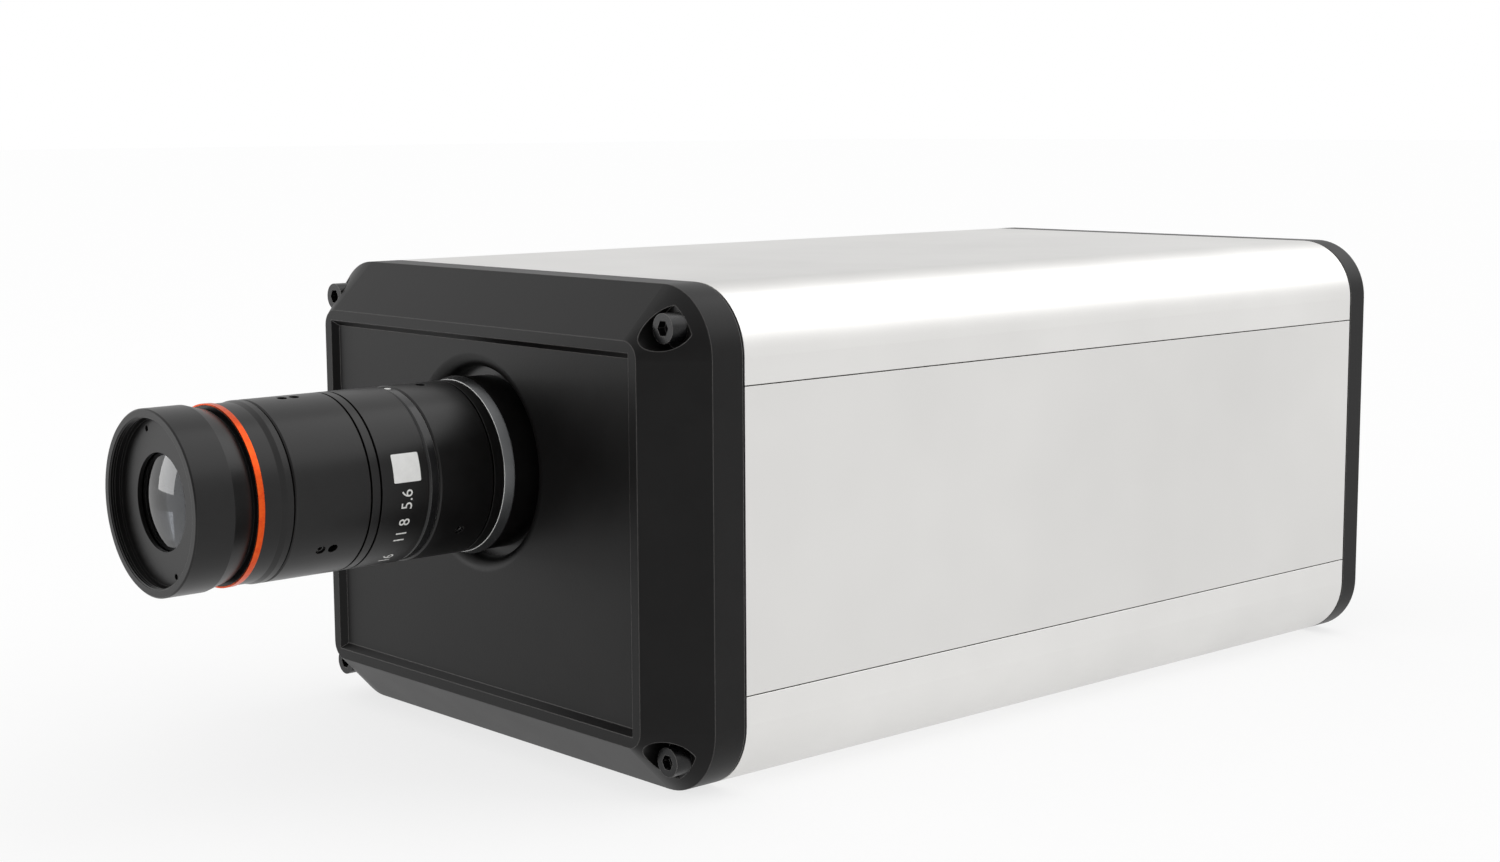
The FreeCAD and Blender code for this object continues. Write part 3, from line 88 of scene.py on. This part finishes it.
def dress(material, *names):
    for name in names:
        slots = nodes[name].data.materials
        slots.clear()
        slots.append(material)


def onBarrel(angle, station, radius):  # a point on the lens, its angle in degrees up from the right
    turn = math.radians(angle)
    across, rise = radius * math.cos(turn), radius * math.sin(turn)
    return Vector((lensAxis["x"] + across, station, lensAxis["z"] + rise))


def meshObject(name, bm, material, body):
    bmesh.ops.recalc_face_normals(bm, faces=bm.faces)
    mesh = bpy.data.meshes.new(name)
    bm.to_mesh(mesh)
    bm.free()
    mesh.materials.append(material)
    piece = bpy.data.objects.new(name, mesh)
    bpy.context.scene.collection.objects.link(piece)
    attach(piece, body)
    return piece


# Every metal and plastic here is one recipe: a base colour that wanders a little, a grain or
# turning lines in the bump, and a small rounding of the edges, where some finishes get a pale line:
# a painted highlight, on dyed metal partly worn dye too.
# Sizes in a look are millimetres; a wave of scale 1 comes back every waveUnit metres.
recipe = {"spread": 0.03, "tintLow": 0.3, "tintHigh": 0.7, "edgeSamples": 4, "edgeMaskStart": 0.99, "edgeMaskEnd": 0.8,
          "grainStrength": 0.25, "grainDepth": 0.02, "turningDepth": 0.01, "waveUnit": 0.314, "along": "Y"}


def finish(name, look):
    material = newMaterial(name)
    place = addNode(material, "ShaderNodeTexCoord").outputs["Object"]
    blotch = addNode(material, "ShaderNodeTexNoise",
                     {"Scale": cyclesPerMetre(look["blotch"]), "Detail": 3.0, "Roughness": 0.6},
                     {"Vector": place})
    tint = addNode(material, "ShaderNodeValToRGB", links={"Fac": blotch.outputs["Fac"]})
    tint.color_ramp.elements[0].position = recipe["tintLow"]
    tint.color_ramp.elements[0].color = linearColour(look["dark"])
    tint.color_ramp.elements[1].position = recipe["tintHigh"]
    tint.color_ramp.elements[1].color = linearColour(look["light"])
    colour = tint.outputs["Color"]
    spread = look.get("spread", recipe["spread"])
    gloss = addNode(material, "ShaderNodeMapRange",
                    {"To Min": look["roughness"] - spread, "To Max": look["roughness"] + spread},
                    {"Value": blotch.outputs["Fac"]})
    rounding = addNode(material, "ShaderNodeBevel",
                       {"samples": recipe["edgeSamples"], "Radius": look["edge"] / 1000})
    normal = rounding.outputs["Normal"]
    # a pale line along the edges, mixed into the base colour: a painted highlight, partly edge wear
    if "glintAndWear" in look:
        flat = addNode(material, "ShaderNodeNewGeometry")
        facing = addNode(material, "ShaderNodeVectorMath", {"operation": "DOT_PRODUCT"},
                         {0: rounding.outputs["Normal"], 1: flat.outputs["Normal"]})
        edgeGlintMask = addNode(material, "ShaderNodeMapRange",
                      {"From Min": recipe["edgeMaskStart"], "From Max": recipe["edgeMaskEnd"], "To Min": 0.0,
                       "To Max": look["glintAndWearShare"]},
                      {"Value": facing.outputs["Value"]})
        glintAndWear = addNode(material, "ShaderNodeMixRGB", {"Color2": linearColour(look["glintAndWear"])},
                       {"Fac": edgeGlintMask.outputs["Result"], "Color1": colour})
        colour = glintAndWear.outputs["Color"]
    if "grain" in look:
        grain = addNode(material, "ShaderNodeTexNoise",
                        {"Scale": cyclesPerMetre(look["grain"]), "Detail": 2.0, "Roughness": 0.5},
                        {"Vector": place})
        tooth = addNode(material, "ShaderNodeBump",
                        {"Strength": look.get("grainStrength", recipe["grainStrength"]),
                         "Distance": recipe["grainDepth"] / 1000},
                        {"Height": grain.outputs["Fac"], "Normal": normal})
        normal = tooth.outputs["Normal"]
    if "turning" in look:
        lines = addNode(material, "ShaderNodeTexWave",
                        {"wave_type": "BANDS", "bands_direction": look.get("along", recipe["along"]),
                         "Scale": recipe["waveUnit"] * cyclesPerMetre(look["turning"]), "Distortion": 0.0},
                        {"Vector": place})
        cut = addNode(material, "ShaderNodeBump",
                      {"Strength": look["turningStrength"], "Distance": recipe["turningDepth"] / 1000},
                      {"Height": lines.outputs["Fac"], "Normal": normal})
        normal = cut.outputs["Normal"]
    shader = addNode(material, "ShaderNodeBsdfPrincipled",
                     {"Metallic": look.get("metallic", 0.0), "Specular IOR Level": look.get("specular", 0.5)},
                     {"Base Color": colour, "Roughness": gloss.outputs["Result"], "Normal": normal})
    addNode(material, "ShaderNodeOutputMaterial", links={"Surface": shader.outputs["BSDF"]})
    return material


looks = {
    # extruded aluminium, bead-blasted and clear anodised: an even pale grey with a soft broad sheen;
    # the blast grain is about 0.15 mm, drawn at 0.45 mm so that it shows
    "blastedExtrusion": {"dark": "DFDEDC", "light": "E8E7E5", "metallic": 1.0, "roughness": 0.38,
                         "spread": 0.02, "blotch": 60.0, "grain": 0.45, "grainStrength": 0.14,
                         "edge": 0.25},
    # rolled aluminium plate, blasted and clear anodised: a shade darker and flatter than the extrusion,
    # with the same grain
    "blastedPlate": {"dark": "DAD9D7", "light": "E2E1DF", "metallic": 1.0, "roughness": 0.42,
                     "spread": 0.02, "blotch": 80.0, "grain": 0.45, "grainStrength": 0.14, "edge": 0.12},
    # milled aluminium, blasted and dyed black: deep satin grey, a tooth of 0.2 mm drawn at 0.5 mm,
    # and a thin pale line along the edges, a painted highlight that partly stands for rubbed dye
    "milledBlackAnodised": {"dark": "0A0909", "light": "100F0F", "roughness": 0.4, "spread": 0.03,
                            "blotch": 12.0, "grain": 0.5, "grainStrength": 0.6, "edge": 0.3,
                            "specular": 0.2, "glintAndWear": "A4A2A0", "glintAndWearShare": 0.6},
    # forged steel screws, black oxide: darker, a little oily, with a painted highlight along the rims
    "blackOxideSteel": {"dark": "0C0C0D", "light": "161617", "metallic": 0.4, "roughness": 0.28,
                        "spread": 0.06, "blotch": 2.0, "edge": 0.2, "glintAndWear": "9A9896", "glintAndWearShare": 0.7},
    # pressed rubber sheet: matt and nearly black, its grain of 0.3 mm drawn at 0.6 mm
    "pressedRubber": {"dark": "101011", "light": "171718", "roughness": 0.75, "blotch": 3.0, "grain": 0.6,
                      "edge": 0.05},
    # turned aluminium, dyed black: satin, with the lathe's feed of 0.15 mm drawn at 0.4 mm, and a faint
    # painted highlight along the edges, partly rubbed dye
    "turnedBlackAnodised": {"dark": "090808", "light": "0F0E0E", "roughness": 0.32, "spread": 0.03,
                            "blotch": 6.0, "turning": 0.4, "turningStrength": 0.12, "edge": 0.12,
                            "specular": 0.33, "grain": 0.4, "grainStrength": 0.3, "glintAndWear": "6E6C6A",
                            "glintAndWearShare": 0.35},
    # turned steel ring, bright and bare: its grey is painted dark for the dark parts it mirrors (painted
    # reflection), with a painted highlight as a white line along its rims; the feed of 0.1 mm drawn at 0.35
    # mm
    "turnedBrightSteel": {"dark": "5E5F60", "light": "6C6D6E", "metallic": 1.0, "roughness": 0.22,
                          "spread": 0.02, "blotch": 8.0, "turning": 0.35, "turningStrength": 0.04,
                          "edge": 0.3, "glintAndWear": "F4F4F2", "glintAndWearShare": 1.0},
    # turned aluminium ring, dyed orange: the metal shines through the dye; feed of 0.1 mm drawn at 0.3 mm
    "turnedOrangeAnodised": {"dark": "CE441A", "light": "E25A20", "metallic": 0.9, "roughness": 0.28,
                             "blotch": 1.5, "turning": 0.3, "turningStrength": 0.15, "edge": 0.1},
    # turned ring, dyed dark and glossier than its neighbours, with a painted highlight as a bright line
    # along its rim; feed of 0.1 mm drawn at 0.35 mm
    "turnedGlossAnodised": {"dark": "121213", "light": "19191A", "metallic": 0.2, "roughness": 0.22,
                            "blotch": 2.0, "turning": 0.35, "turningStrength": 0.1, "edge": 0.2,
                            "glintAndWear": "B0AEAC", "glintAndWearShare": 0.8},
    # milled aluminium, clear anodised: cooler and shinier than the blasted skin, cutter marks 1.2 mm apart
    "milledClearAnodised": {"dark": "B4B7BA", "light": "C6C9CB", "metallic": 1.0, "roughness": 0.34,
                            "blotch": 15.0, "turning": 1.2, "along": "X", "turningStrength": 0.1,
                            "edge": 0.2},
    # ground steel: grey and close to a mirror along the grinding, whose lines of 0.1 mm are drawn at 0.6 mm
    "groundSteel": {"dark": "A2A3A4", "light": "BCBDBE", "metallic": 1.0, "roughness": 0.22,
                    "blotch": 8.0, "turning": 0.6, "along": "X", "turningStrength": 0.1, "edge": 0.15},
    # turned brass: warm yellow, its feed lines of 0.2 mm drawn at 0.5 mm
    "turnedBrass": {"dark": "B58B3C", "light": "CFA552", "metallic": 1.0, "roughness": 0.28,
                    "blotch": 3.0, "turning": 0.5, "along": "X", "turningStrength": 0.15, "edge": 0.15},
    # pressed steel motor case, painted: soft black with a faint orange peel
    "paintedSteel": {"dark": "151517", "light": "202022", "roughness": 0.5, "blotch": 5.0, "grain": 0.5,
                     "edge": 0.3},
    # epoxy moulded round the sensor: flat black, its tooth of 0.1 mm drawn at 0.3 mm
    "mouldedEpoxy": {"dark": "0F0F11", "light": "191A1C", "roughness": 0.38, "blotch": 3.0, "grain": 0.3,
                     "edge": 0.1},
    # nickel plated on turned brass: warm pale metal, bright; feed of 0.1 mm drawn at 0.4 mm
    "platedNickel": {"dark": "B4B1A9", "light": "C2BFB7", "metallic": 1.0, "roughness": 0.22,
                     "spread": 0.02, "blotch": 12.0, "turning": 0.4, "turningStrength": 0.06,
                     "edge": 0.2},
    # moulded nylon: black with a soft spark-eroded texture of 0.1 mm, drawn at 0.4 mm
    "mouldedNylon": {"dark": "141416", "light": "1D1D20", "roughness": 0.4, "blotch": 4.0, "grain": 0.4,
                     "grainStrength": 0.2, "edge": 0.25},
    # printed vinyl sticker: white with a satin face, its faint grain drawn at 0.4 mm
    "printedVinyl": {"dark": "E4E4E2", "light": "F0F0EE", "roughness": 0.35, "blotch": 3.0, "grain": 0.4,
                     "grainStrength": 0.05, "edge": 0.05},
    # enamel printed in a thick film: white and slightly uneven, its grain drawn at 0.3 mm
    "printedEnamel": {"dark": "D6D6D3", "light": "ECECE9", "roughness": 0.45, "blotch": 0.6, "grain": 0.3,
                     "grainStrength": 0.1, "edge": 0.03},
}
finishes = {name: finish(name, look) for name, look in looks.items()}

dress(finishes["blastedExtrusion"], "top_shell", "bottom_shell")
dress(finishes["blastedPlate"], "side_panel_left", "side_panel_right")
dress(finishes["milledBlackAnodised"], "front_cover", "rear_cover")
dress(finishes["blackOxideSteel"], "front_cover_screws", "rear_cover_screws", "mount_screws", "bench_screws",
      "iris_ring_lock_screws", "focus_ring_lock_screws")
dress(finishes["pressedRubber"], "front_gasket", "rear_gasket")
dress(finishes["turnedBlackAnodised"], "fixed_barrel", "iris_ring", "focus_ring", "stop_ring",
      "retaining_ring", "inner_retainer", "rear_retainer", "iris_diaphragm", "lens_mount", "slit_holder",
      "spectrograph_tube", "optics_spacers", "camera_body", "front_barrel")
dress(finishes["turnedBrightSteel"], "mount_ring")
dress(finishes["turnedOrangeAnodised"], "accent_ring")
dress(finishes["turnedGlossAnodised"], "index_ring")
dress(finishes["milledClearAnodised"], "optical_bench", "carriage_plate", "clamp_caps", "clamp_saddles",
      "bearing_block", "sensor_heat_sink")
dress(finishes["groundSteel"], "scan_rails", "rail_blocks", "lead_screw", "slit_plate")
dress(finishes["turnedBrass"], "lead_nut")
dress(finishes["paintedSteel"], "scan_motor")
dress(finishes["mouldedEpoxy"], "sensor_chip")
dress(finishes["platedNickel"], "round_sockets", "socket_nuts", "data_socket")
dress(finishes["mouldedNylon"], "socket_inserts", "data_tongue", "switch_frame", "power_rocker")


# Optical glass, ground and coated: clear reflections, a faint tint from the coating on the inner ones,
# and specks of dust of 0.8 mm that dull the polish a little. The front one is tinted dark grey, a
# painted shade that stands for the dark barrel seen through it.
dusting = {"size": 0.8, "from": 0.6, "to": 0.8, "dullest": 0.03, "coatingIor": 1.38}


def coatedGlass(name, look):
    material = newMaterial(name)
    coords = addNode(material, "ShaderNodeTexCoord")
    dust = addNode(material, "ShaderNodeTexNoise", {"Scale": cyclesPerMetre(dusting["size"]), "Detail": 2.0},
                   {"Vector": coords.outputs["Object"]})
    film = addNode(material, "ShaderNodeMapRange",
                   {"From Min": dusting["from"], "From Max": dusting["to"], "To Min": 0.0,
                    "To Max": dusting["dullest"]},
                   {"Value": dust.outputs["Fac"]})
    shader = addNode(material, "ShaderNodeBsdfPrincipled",
                     {"Base Color": linearColour(look["body"]), "Transmission Weight": 1.0,
                      "IOR": look["ior"], "Thin Film Thickness": look["film"],
                      "Thin Film IOR": dusting["coatingIor"]},
                     {"Roughness": film.outputs["Result"]})
    addNode(material, "ShaderNodeOutputMaterial", links={"Surface": shader.outputs["BSDF"]})
    return material


# the dark grey body is painted shade for the dark barrel behind the front glass
frontGlass = coatedGlass("coatedFrontGlass", {"body": "3A3C3F", "ior": 1.62, "film": 0.0})
innerGlass = coatedGlass("coatedInnerGlass", {"body": "DDE3E2", "ior": 1.55, "film": 300.0})
gratingGlass = coatedGlass("ruledGratingGlass", {"body": "E9F0F2", "ior": 1.52, "film": 420.0})
dress(frontGlass, "front_element")
dress(innerGlass, "inner_element", "rear_element", "collimating_lens", "imaging_lens")
dress(gratingGlass, "grating")


# Etched board under solder mask: green with paler tracks on a 1.3 mm grid. The brick pattern lays
# rowUnit rows to one unit of its scale.
def circuitBoard(name, look):
    material = newMaterial(name)
    coords = addNode(material, "ShaderNodeTexCoord")
    tracks = addNode(material, "ShaderNodeTexBrick",
                     {"Scale": cyclesPerMetre(look["grid"]) / look["rowUnit"], "Mortar Size": look["width"],
                      "Mortar Smooth": 0.2,
                      "Color1": linearColour(look["mask"]), "Color2": linearColour(look["maskDark"]),
                      "Mortar": linearColour(look["track"])},
                     {"Vector": coords.outputs["Object"]})
    shader = addNode(material, "ShaderNodeBsdfPrincipled", {"Roughness": 0.35, "Coat Weight": 0.4},
                     {"Base Color": tracks.outputs["Color"]})
    addNode(material, "ShaderNodeOutputMaterial", links={"Surface": shader.outputs["BSDF"]})
    return material


board = {"grid": 1.3, "rowUnit": 4, "width": 0.03, "mask": "1F6B43", "maskDark": "1A5E3A", "track": "4E9A6B"}
dress(circuitBoard("maskedBoard", board), "main_board", "sensor_board")


# Moulded acrylic lamp: green, see-through at the rim, cloudy inside.
def lampAcrylic(name, look):
    material = newMaterial(name)
    coords = addNode(material, "ShaderNodeTexCoord")
    cloud = addNode(material, "ShaderNodeTexNoise", {"Scale": cyclesPerMetre(look["cloud"]), "Detail": 1.0},
                    {"Vector": coords.outputs["Object"]})
    tint = addNode(material, "ShaderNodeValToRGB", links={"Fac": cloud.outputs["Fac"]})
    tint.color_ramp.elements[0].color = linearColour(look["deep"])
    tint.color_ramp.elements[1].color = linearColour(look["pale"])
    shader = addNode(material, "ShaderNodeBsdfPrincipled",
                     {"Roughness": 0.12, "IOR": 1.49, "Transmission Weight": 0.5, "Coat Weight": 0.5},
                     {"Base Color": tint.outputs["Color"]})
    addNode(material, "ShaderNodeOutputMaterial", links={"Surface": shader.outputs["BSDF"]})
    return material


dress(lampAcrylic("mouldedAcrylic", {"cloud": 1.5, "deep": "2F8F4E", "pale": "6CCB86"}), "status_lamp")
print("materials set")


def liftFilm(bm):  # gives a flat mesh a second face at level 1, which is scaled to its thickness later
    film = bmesh.ops.extrude_face_region(bm, geom=bm.faces[:])
    for item in film["geom"]:
        if isinstance(item, bmesh.types.BMVert):
            item.co.z = 1.0


def cutStrips(bm, across, strips):  # cuts a flat outline into strips, so that it can bend
    reach = [vert.co.dot(across) for vert in bm.verts]
    for strip in range(1, strips):
        everything = bm.verts[:] + bm.edges[:] + bm.faces[:]
        place = min(reach) + (max(reach) - min(reach)) * strip / strips
        bmesh.ops.bisect_plane(bm, geom=everything, plane_co=place * across, plane_no=across)


# A patch wraps an outline of (around, along) points round the lens as a thin closed film.
def wrapPatch(name, outline, middle, radius, material):
    bm = bmesh.new()
    bm.faces.new([bm.verts.new((around, along, 0.0)) for around, along in outline])
    cutStrips(bm, Vector((1, 0, 0)), middle["strips"])
    liftFilm(bm)
    for vert in bm.verts:
        around, along, level = vert.co
        vert.co = onBarrel(middle["angle"] + math.degrees(around / radius), middle["station"] + along,
                           radius + middle["thickness"] * level)
    return meshObject(name, bm, material, "housing")


def circleOutline(radius, points):
    turns = [2 * math.pi * step / points for step in range(points)]
    return [(radius * math.cos(turn), radius * math.sin(turn)) for turn in turns]


def roundedBlock(width, height, corner, points=5):
    outline = []
    x, y = width / 2 - corner, height / 2 - corner
    for quarter, (midX, midY) in enumerate(((x, y), (-x, y), (-x, -y), (x, -y))):
        for step in range(points):
            turn = math.radians(90 * quarter + 90 * step / (points - 1))
            outline.append((midX + corner * math.cos(turn), midY + corner * math.sin(turn)))
    return outline


sticker = {"angle": 12.7, "station": -0.1531, "round": 0.0059, "along": 0.0064, "corner": 0.0003,
           "thickness": 0.00008, "strips": 16}
wrapPatch("blank_label", roundedBlock(sticker["round"], sticker["along"], sticker["corner"]), sticker,
          lensRadius, finishes["printedVinyl"])

dot = {"angle": 84.5, "station": -0.1465, "radius": 0.0007, "points": 24, "thickness": 0.00004, "strips": 4}
indexLow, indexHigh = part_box("index_ring")
wrapPatch("index_dot", circleOutline(dot["radius"], dot["points"]), dot, (indexHigh.z - indexLow.z) / 2,
          finishes["printedEnamel"])
print("label and index dot placed")

# Plain numbers run up round the band below the label, their tops towards the front glass.
figures = {"words": {"5.6": -7.5, "8": -23.0, "11": -34.5, "16": -58.0}, "height": 0.0025,
           "station": -0.1531, "proud": 0.00005, "sunk": 0.4, "capShare": 0.69, "curveSteps": 3}


def wrapText(name, words, angle):
    curve = bpy.data.curves.new(name + "_text", "FONT")
    curve.body = words
    curve.size = figures["height"] / figures["capShare"]
    curve.align_x = "CENTER"
    curve.align_y = "CENTER"
    curve.resolution_u = figures["curveSteps"]
    source = bpy.data.objects.new(name + "_source", curve)
    bpy.context.scene.collection.objects.link(source)
    bpy.context.view_layer.update()
    flat = bpy.data.meshes.new_from_object(source)
    bpy.data.objects.remove(source)
    bm = bmesh.new()
    bm.from_mesh(flat)
    bpy.data.meshes.remove(flat)
    liftFilm(bm)
    for vert in bm.verts:
        across, rise, level = vert.co
        vert.co = onBarrel(angle + math.degrees(across / lensRadius), figures["station"] - rise,
                           lensRadius + figures["proud"] * (level - figures["sunk"]))
    return meshObject(name, bm, finishes["printedEnamel"], "housing")


for count, (words, angle) in enumerate(figures["words"].items(), start=1):
    wrapText("band_figure_%d" % count, words, angle)
print("figures placed")

# The hood's mouth is threaded for filters: three ridges on the bore, 0.5 mm apart.
ridges = {"bore": 0.017, "crest": 0.00028, "pitch": 0.0005, "first": 0.00030, "count": 3, "points": 128,
          "foot": 0.00016, "bite": 0.00005}
hoodLow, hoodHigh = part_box("front_barrel")


def threadRidges(name):
    bm = bmesh.new()
    angles = [360.0 * step / ridges["points"] for step in range(ridges["points"])]
    for turn in range(ridges["count"]):
        station = hoodLow.y + ridges["first"] + ridges["pitch"] * turn
        profile = [(ridges["bore"] + ridges["bite"], station - ridges["foot"]),
                   (ridges["bore"] - ridges["crest"], station),
                   (ridges["bore"] + ridges["bite"], station + ridges["foot"])]
        rings = []
        for radius, along in profile:
            rings.append([bm.verts.new(onBarrel(angle, along, radius)) for angle in angles])
        for near, far in zip(rings, rings[1:] + rings[:1]):
            for step in range(ridges["points"]):
                after = (step + 1) % ridges["points"]
                bm.faces.new((near[step], near[after], far[after], far[step]))
    return meshObject(name, bm, finishes["turnedBlackAnodised"], "front_group")


threadRidges("filter_thread_ridges")
print("thread ridges cut")

# The switch carries the usual bar for on and ring for off, laid on its curved face.
signs = {"bar": (0.0005, 0.0026), "corner": 0.0002, "ringOuter": 0.0013, "ringInner": 0.0009, "points": 28,
         "share": 0.27, "reach": 0.02, "proud": 0.00006, "sunk": 0.00006, "strips": 10}
rockerLow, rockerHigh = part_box("power_rocker")
switchMiddle = (rockerLow + rockerHigh) / 2
signRise = signs["share"] * (rockerHigh.z - rockerLow.z)


def layOnRocker(name, bm, level):
    rocker = nodes["power_rocker"]
    tree = BVHTree.FromObject(rocker, bpy.context.evaluated_depsgraph_get())
    inverse = rocker.matrix_world.inverted()
    outwards = (inverse.to_3x3() @ Vector((0, 1, 0))).normalized()
    cutStrips(bm, Vector((0, 1, 0)), signs["strips"])
    liftFilm(bm)
    for vert in bm.verts:
        across, rise, height = vert.co
        start = Vector((switchMiddle.x + across, rockerHigh.y + signs["reach"], level + rise))
        hit = tree.ray_cast(inverse @ start, -outwards)[0]
        landed = rocker.matrix_world @ hit
        landed.y += signs["proud"] * height - signs["sunk"] * (1 - height)
        vert.co = landed
    return meshObject(name, bm, finishes["printedEnamel"], "rocker")


barMesh = bmesh.new()
barOutline = roundedBlock(signs["bar"][0], signs["bar"][1], signs["corner"])
barMesh.faces.new([barMesh.verts.new((x, y, 0.0)) for x, y in barOutline])
layOnRocker("switch_on_bar", barMesh, switchMiddle.z + signRise)
ringMesh = bmesh.new()
outer = [ringMesh.verts.new((x, y, 0.0)) for x, y in circleOutline(signs["ringOuter"], signs["points"])]
inner = [ringMesh.verts.new((x, y, 0.0)) for x, y in circleOutline(signs["ringInner"], signs["points"])]
for step in range(signs["points"]):
    after = (step + 1) % signs["points"]
    ringMesh.faces.new((outer[step], outer[after], inner[after], inner[step]))
layOnRocker("switch_off_ring", ringMesh, switchMiddle.z - signRise)
print("switch signs laid")

# A white paper floor that glows a little to the eye, so that the shadow stays light, a soft white
# room, a broad lamp above and behind, and a softbox at the front left that the glass mirrors.
studio = {"halfFloor": 12.0, "floorDrop": 0.0002, "floorGlow": 0.75, "fleck": 25.0, "paperDark": 0.985,
          "paperLight": 1.0, "roomDiffuse": 0.78, "white": (1.0, 1.0, 1.0, 1.0),
          "lampStrength": 0.75, "lampSpread": 58.0, "lampTilt": (-41.0, 22.0),
          "boxPlace": (-0.90, -0.99, 0.19), "boxAim": (0.0, -0.198, 0.063), "boxSize": (0.5, 0.42),
          "boxPower": 2.1}

# The room as shiny things see it is dimmer in two directions, as if darker walls stood there.
darkWalls = [{"towards": (0.66, -0.74, -0.1), "from": 0.5, "level": 0.4},
             {"towards": (-0.74, 0.66, 0.13), "from": 0.75, "level": 0.72}]

floorMesh = bpy.data.meshes.new("studio_floor")
half = studio["halfFloor"]
corners = [(-half, -half, 0), (half, -half, 0), (half, half, 0), (-half, half, 0)]
floorMesh.from_pydata(corners, [], [(0, 1, 2, 3)])
floor = bpy.data.objects.new("studio_floor", floorMesh)
bpy.context.scene.collection.objects.link(floor)
floor.location.z = cadBox[0].z - studio["floorDrop"]
floorPaint = newMaterial("studioPaper")
paperCoords = addNode(floorPaint, "ShaderNodeTexCoord")
paperFleck = addNode(floorPaint, "ShaderNodeTexNoise",
                     {"Scale": cyclesPerMetre(studio["fleck"]), "Detail": 2.0},
                     {"Vector": paperCoords.outputs["Object"]})
paperTone = addNode(floorPaint, "ShaderNodeMapRange",
                    {"To Min": studio["paperDark"], "To Max": studio["paperLight"]},
                    {"Value": paperFleck.outputs["Fac"]})
paperShader = addNode(floorPaint, "ShaderNodeBsdfDiffuse", links={"Color": paperTone.outputs["Result"]})
paperRays = addNode(floorPaint, "ShaderNodeLightPath")
paperSeen = addNode(floorPaint, "ShaderNodeMath", {"operation": "MAXIMUM"},
                    {0: paperRays.outputs["Is Camera Ray"], 1: paperRays.outputs["Is Glossy Ray"]})
paperGlow = addNode(floorPaint, "ShaderNodeMapRange", {"To Min": 0.0, "To Max": studio["floorGlow"]},
                    {"Value": paperSeen.outputs[0]})
paperWhite = addNode(floorPaint, "ShaderNodeEmission", {"Color": studio["white"], "Strength": 1.0})
paperMix = addNode(floorPaint, "ShaderNodeMixShader",
                   links={"Fac": paperGlow.outputs["Result"], 1: paperShader.outputs["BSDF"],
                          2: paperWhite.outputs["Emission"]})
addNode(floorPaint, "ShaderNodeOutputMaterial", links={"Surface": paperMix.outputs["Shader"]})
floorMesh.materials.append(floorPaint)

world = bpy.data.worlds.new("studioRoom")
world.use_nodes = True
world.node_tree.nodes.clear()
rays = addNode(world, "ShaderNodeLightPath")
direction = addNode(world, "ShaderNodeTexCoord")
walls = []
for wall in darkWalls:
    towards = addNode(world, "ShaderNodeVectorMath", {"operation": "DOT_PRODUCT"},
                      {0: direction.outputs["Generated"]})
    towards.inputs[1].default_value = Vector(wall["towards"]).normalized()
    walls.append(addNode(world, "ShaderNodeMapRange",
                         {"interpolation_type": "SMOOTHSTEP", "From Min": wall["from"], "From Max": 1.0,
                          "To Min": 1.0, "To Max": wall["level"]}, {"Value": towards.outputs["Value"]}))
dimmed = addNode(world, "ShaderNodeMath", {"operation": "MINIMUM"},
                 {0: walls[0].outputs["Result"], 1: walls[1].outputs["Result"]})
seen = addNode(world, "ShaderNodeMath", {"operation": "MAXIMUM"},
               {0: rays.outputs["Is Camera Ray"], 1: rays.outputs["Is Transmission Ray"]})
mirrored = addNode(world, "ShaderNodeMapRange", {"To Min": studio["roomDiffuse"]},
                   {"Value": rays.outputs["Is Glossy Ray"], "To Max": dimmed.outputs["Value"]})
level = addNode(world, "ShaderNodeMapRange", {"To Max": 1.0},
                {"Value": seen.outputs[0], "To Min": mirrored.outputs["Result"]})
room = addNode(world, "ShaderNodeBackground", {"Color": studio["white"]},
               {"Strength": level.outputs["Result"]})
addNode(world, "ShaderNodeOutputWorld", links={"Surface": room.outputs["Background"]})
bpy.context.scene.world = world

lampData = bpy.data.lights.new("overhead_lamp", "SUN")
lampData.energy = studio["lampStrength"]
lampData.angle = math.radians(studio["lampSpread"])
lamp = bpy.data.objects.new("overhead_lamp", lampData)
tiltBack, tiltSide = (math.radians(turn) for turn in studio["lampTilt"])
lamp.rotation_euler = (tiltBack, tiltSide, 0.0)
bpy.context.scene.collection.objects.link(lamp)

boxData = bpy.data.lights.new("front_softbox", "AREA")
boxData.shape = "RECTANGLE"
boxData.size, boxData.size_y = studio["boxSize"]
boxData.energy = studio["boxPower"]
softbox = bpy.data.objects.new("front_softbox", boxData)
softbox.location = studio["boxPlace"]
aim = Vector(studio["boxAim"]) - Vector(studio["boxPlace"])
softbox.rotation_euler = aim.to_track_quat("-Z", "Y").to_euler()
softbox.visible_camera = False
bpy.context.scene.collection.objects.link(softbox)

# The view comes from a fit to the picture's edges, whose frame is 1500 by 862. Angles are degrees.
shot = {"place": (0.40285, -0.40661, 0.13605), "azimuth": 47.96, "pitch": 7.73, "roll": -0.33,
        "lens": 54.79, "sensor": 36.0, "nearest": 0.01}
azimuth, pitch, roll = (math.radians(shot[key]) for key in ("azimuth", "pitch", "roll"))
back = Vector((math.sin(azimuth) * math.cos(pitch), -math.cos(azimuth) * math.cos(pitch), math.sin(pitch)))
side = Vector((math.cos(azimuth), math.sin(azimuth), 0.0))
rise = back.cross(side)
right = side * math.cos(roll) + rise * math.sin(roll)
upward = rise * math.cos(roll) - side * math.sin(roll)
cameraData = bpy.data.cameras.new("shot_camera")
cameraData.sensor_fit = "HORIZONTAL"
cameraData.sensor_width = shot["sensor"]
cameraData.lens = shot["lens"]
cameraData.clip_start = shot["nearest"]
camera = bpy.data.objects.new("shot_camera", cameraData)
turned = Matrix((right, upward, back)).transposed().to_4x4()
camera.matrix_world = Matrix.Translation(Vector(shot["place"])) @ turned
bpy.context.scene.collection.objects.link(camera)
bpy.context.scene.camera = camera
bpy.context.scene.view_settings.view_transform = "Standard"
print("studio ready")
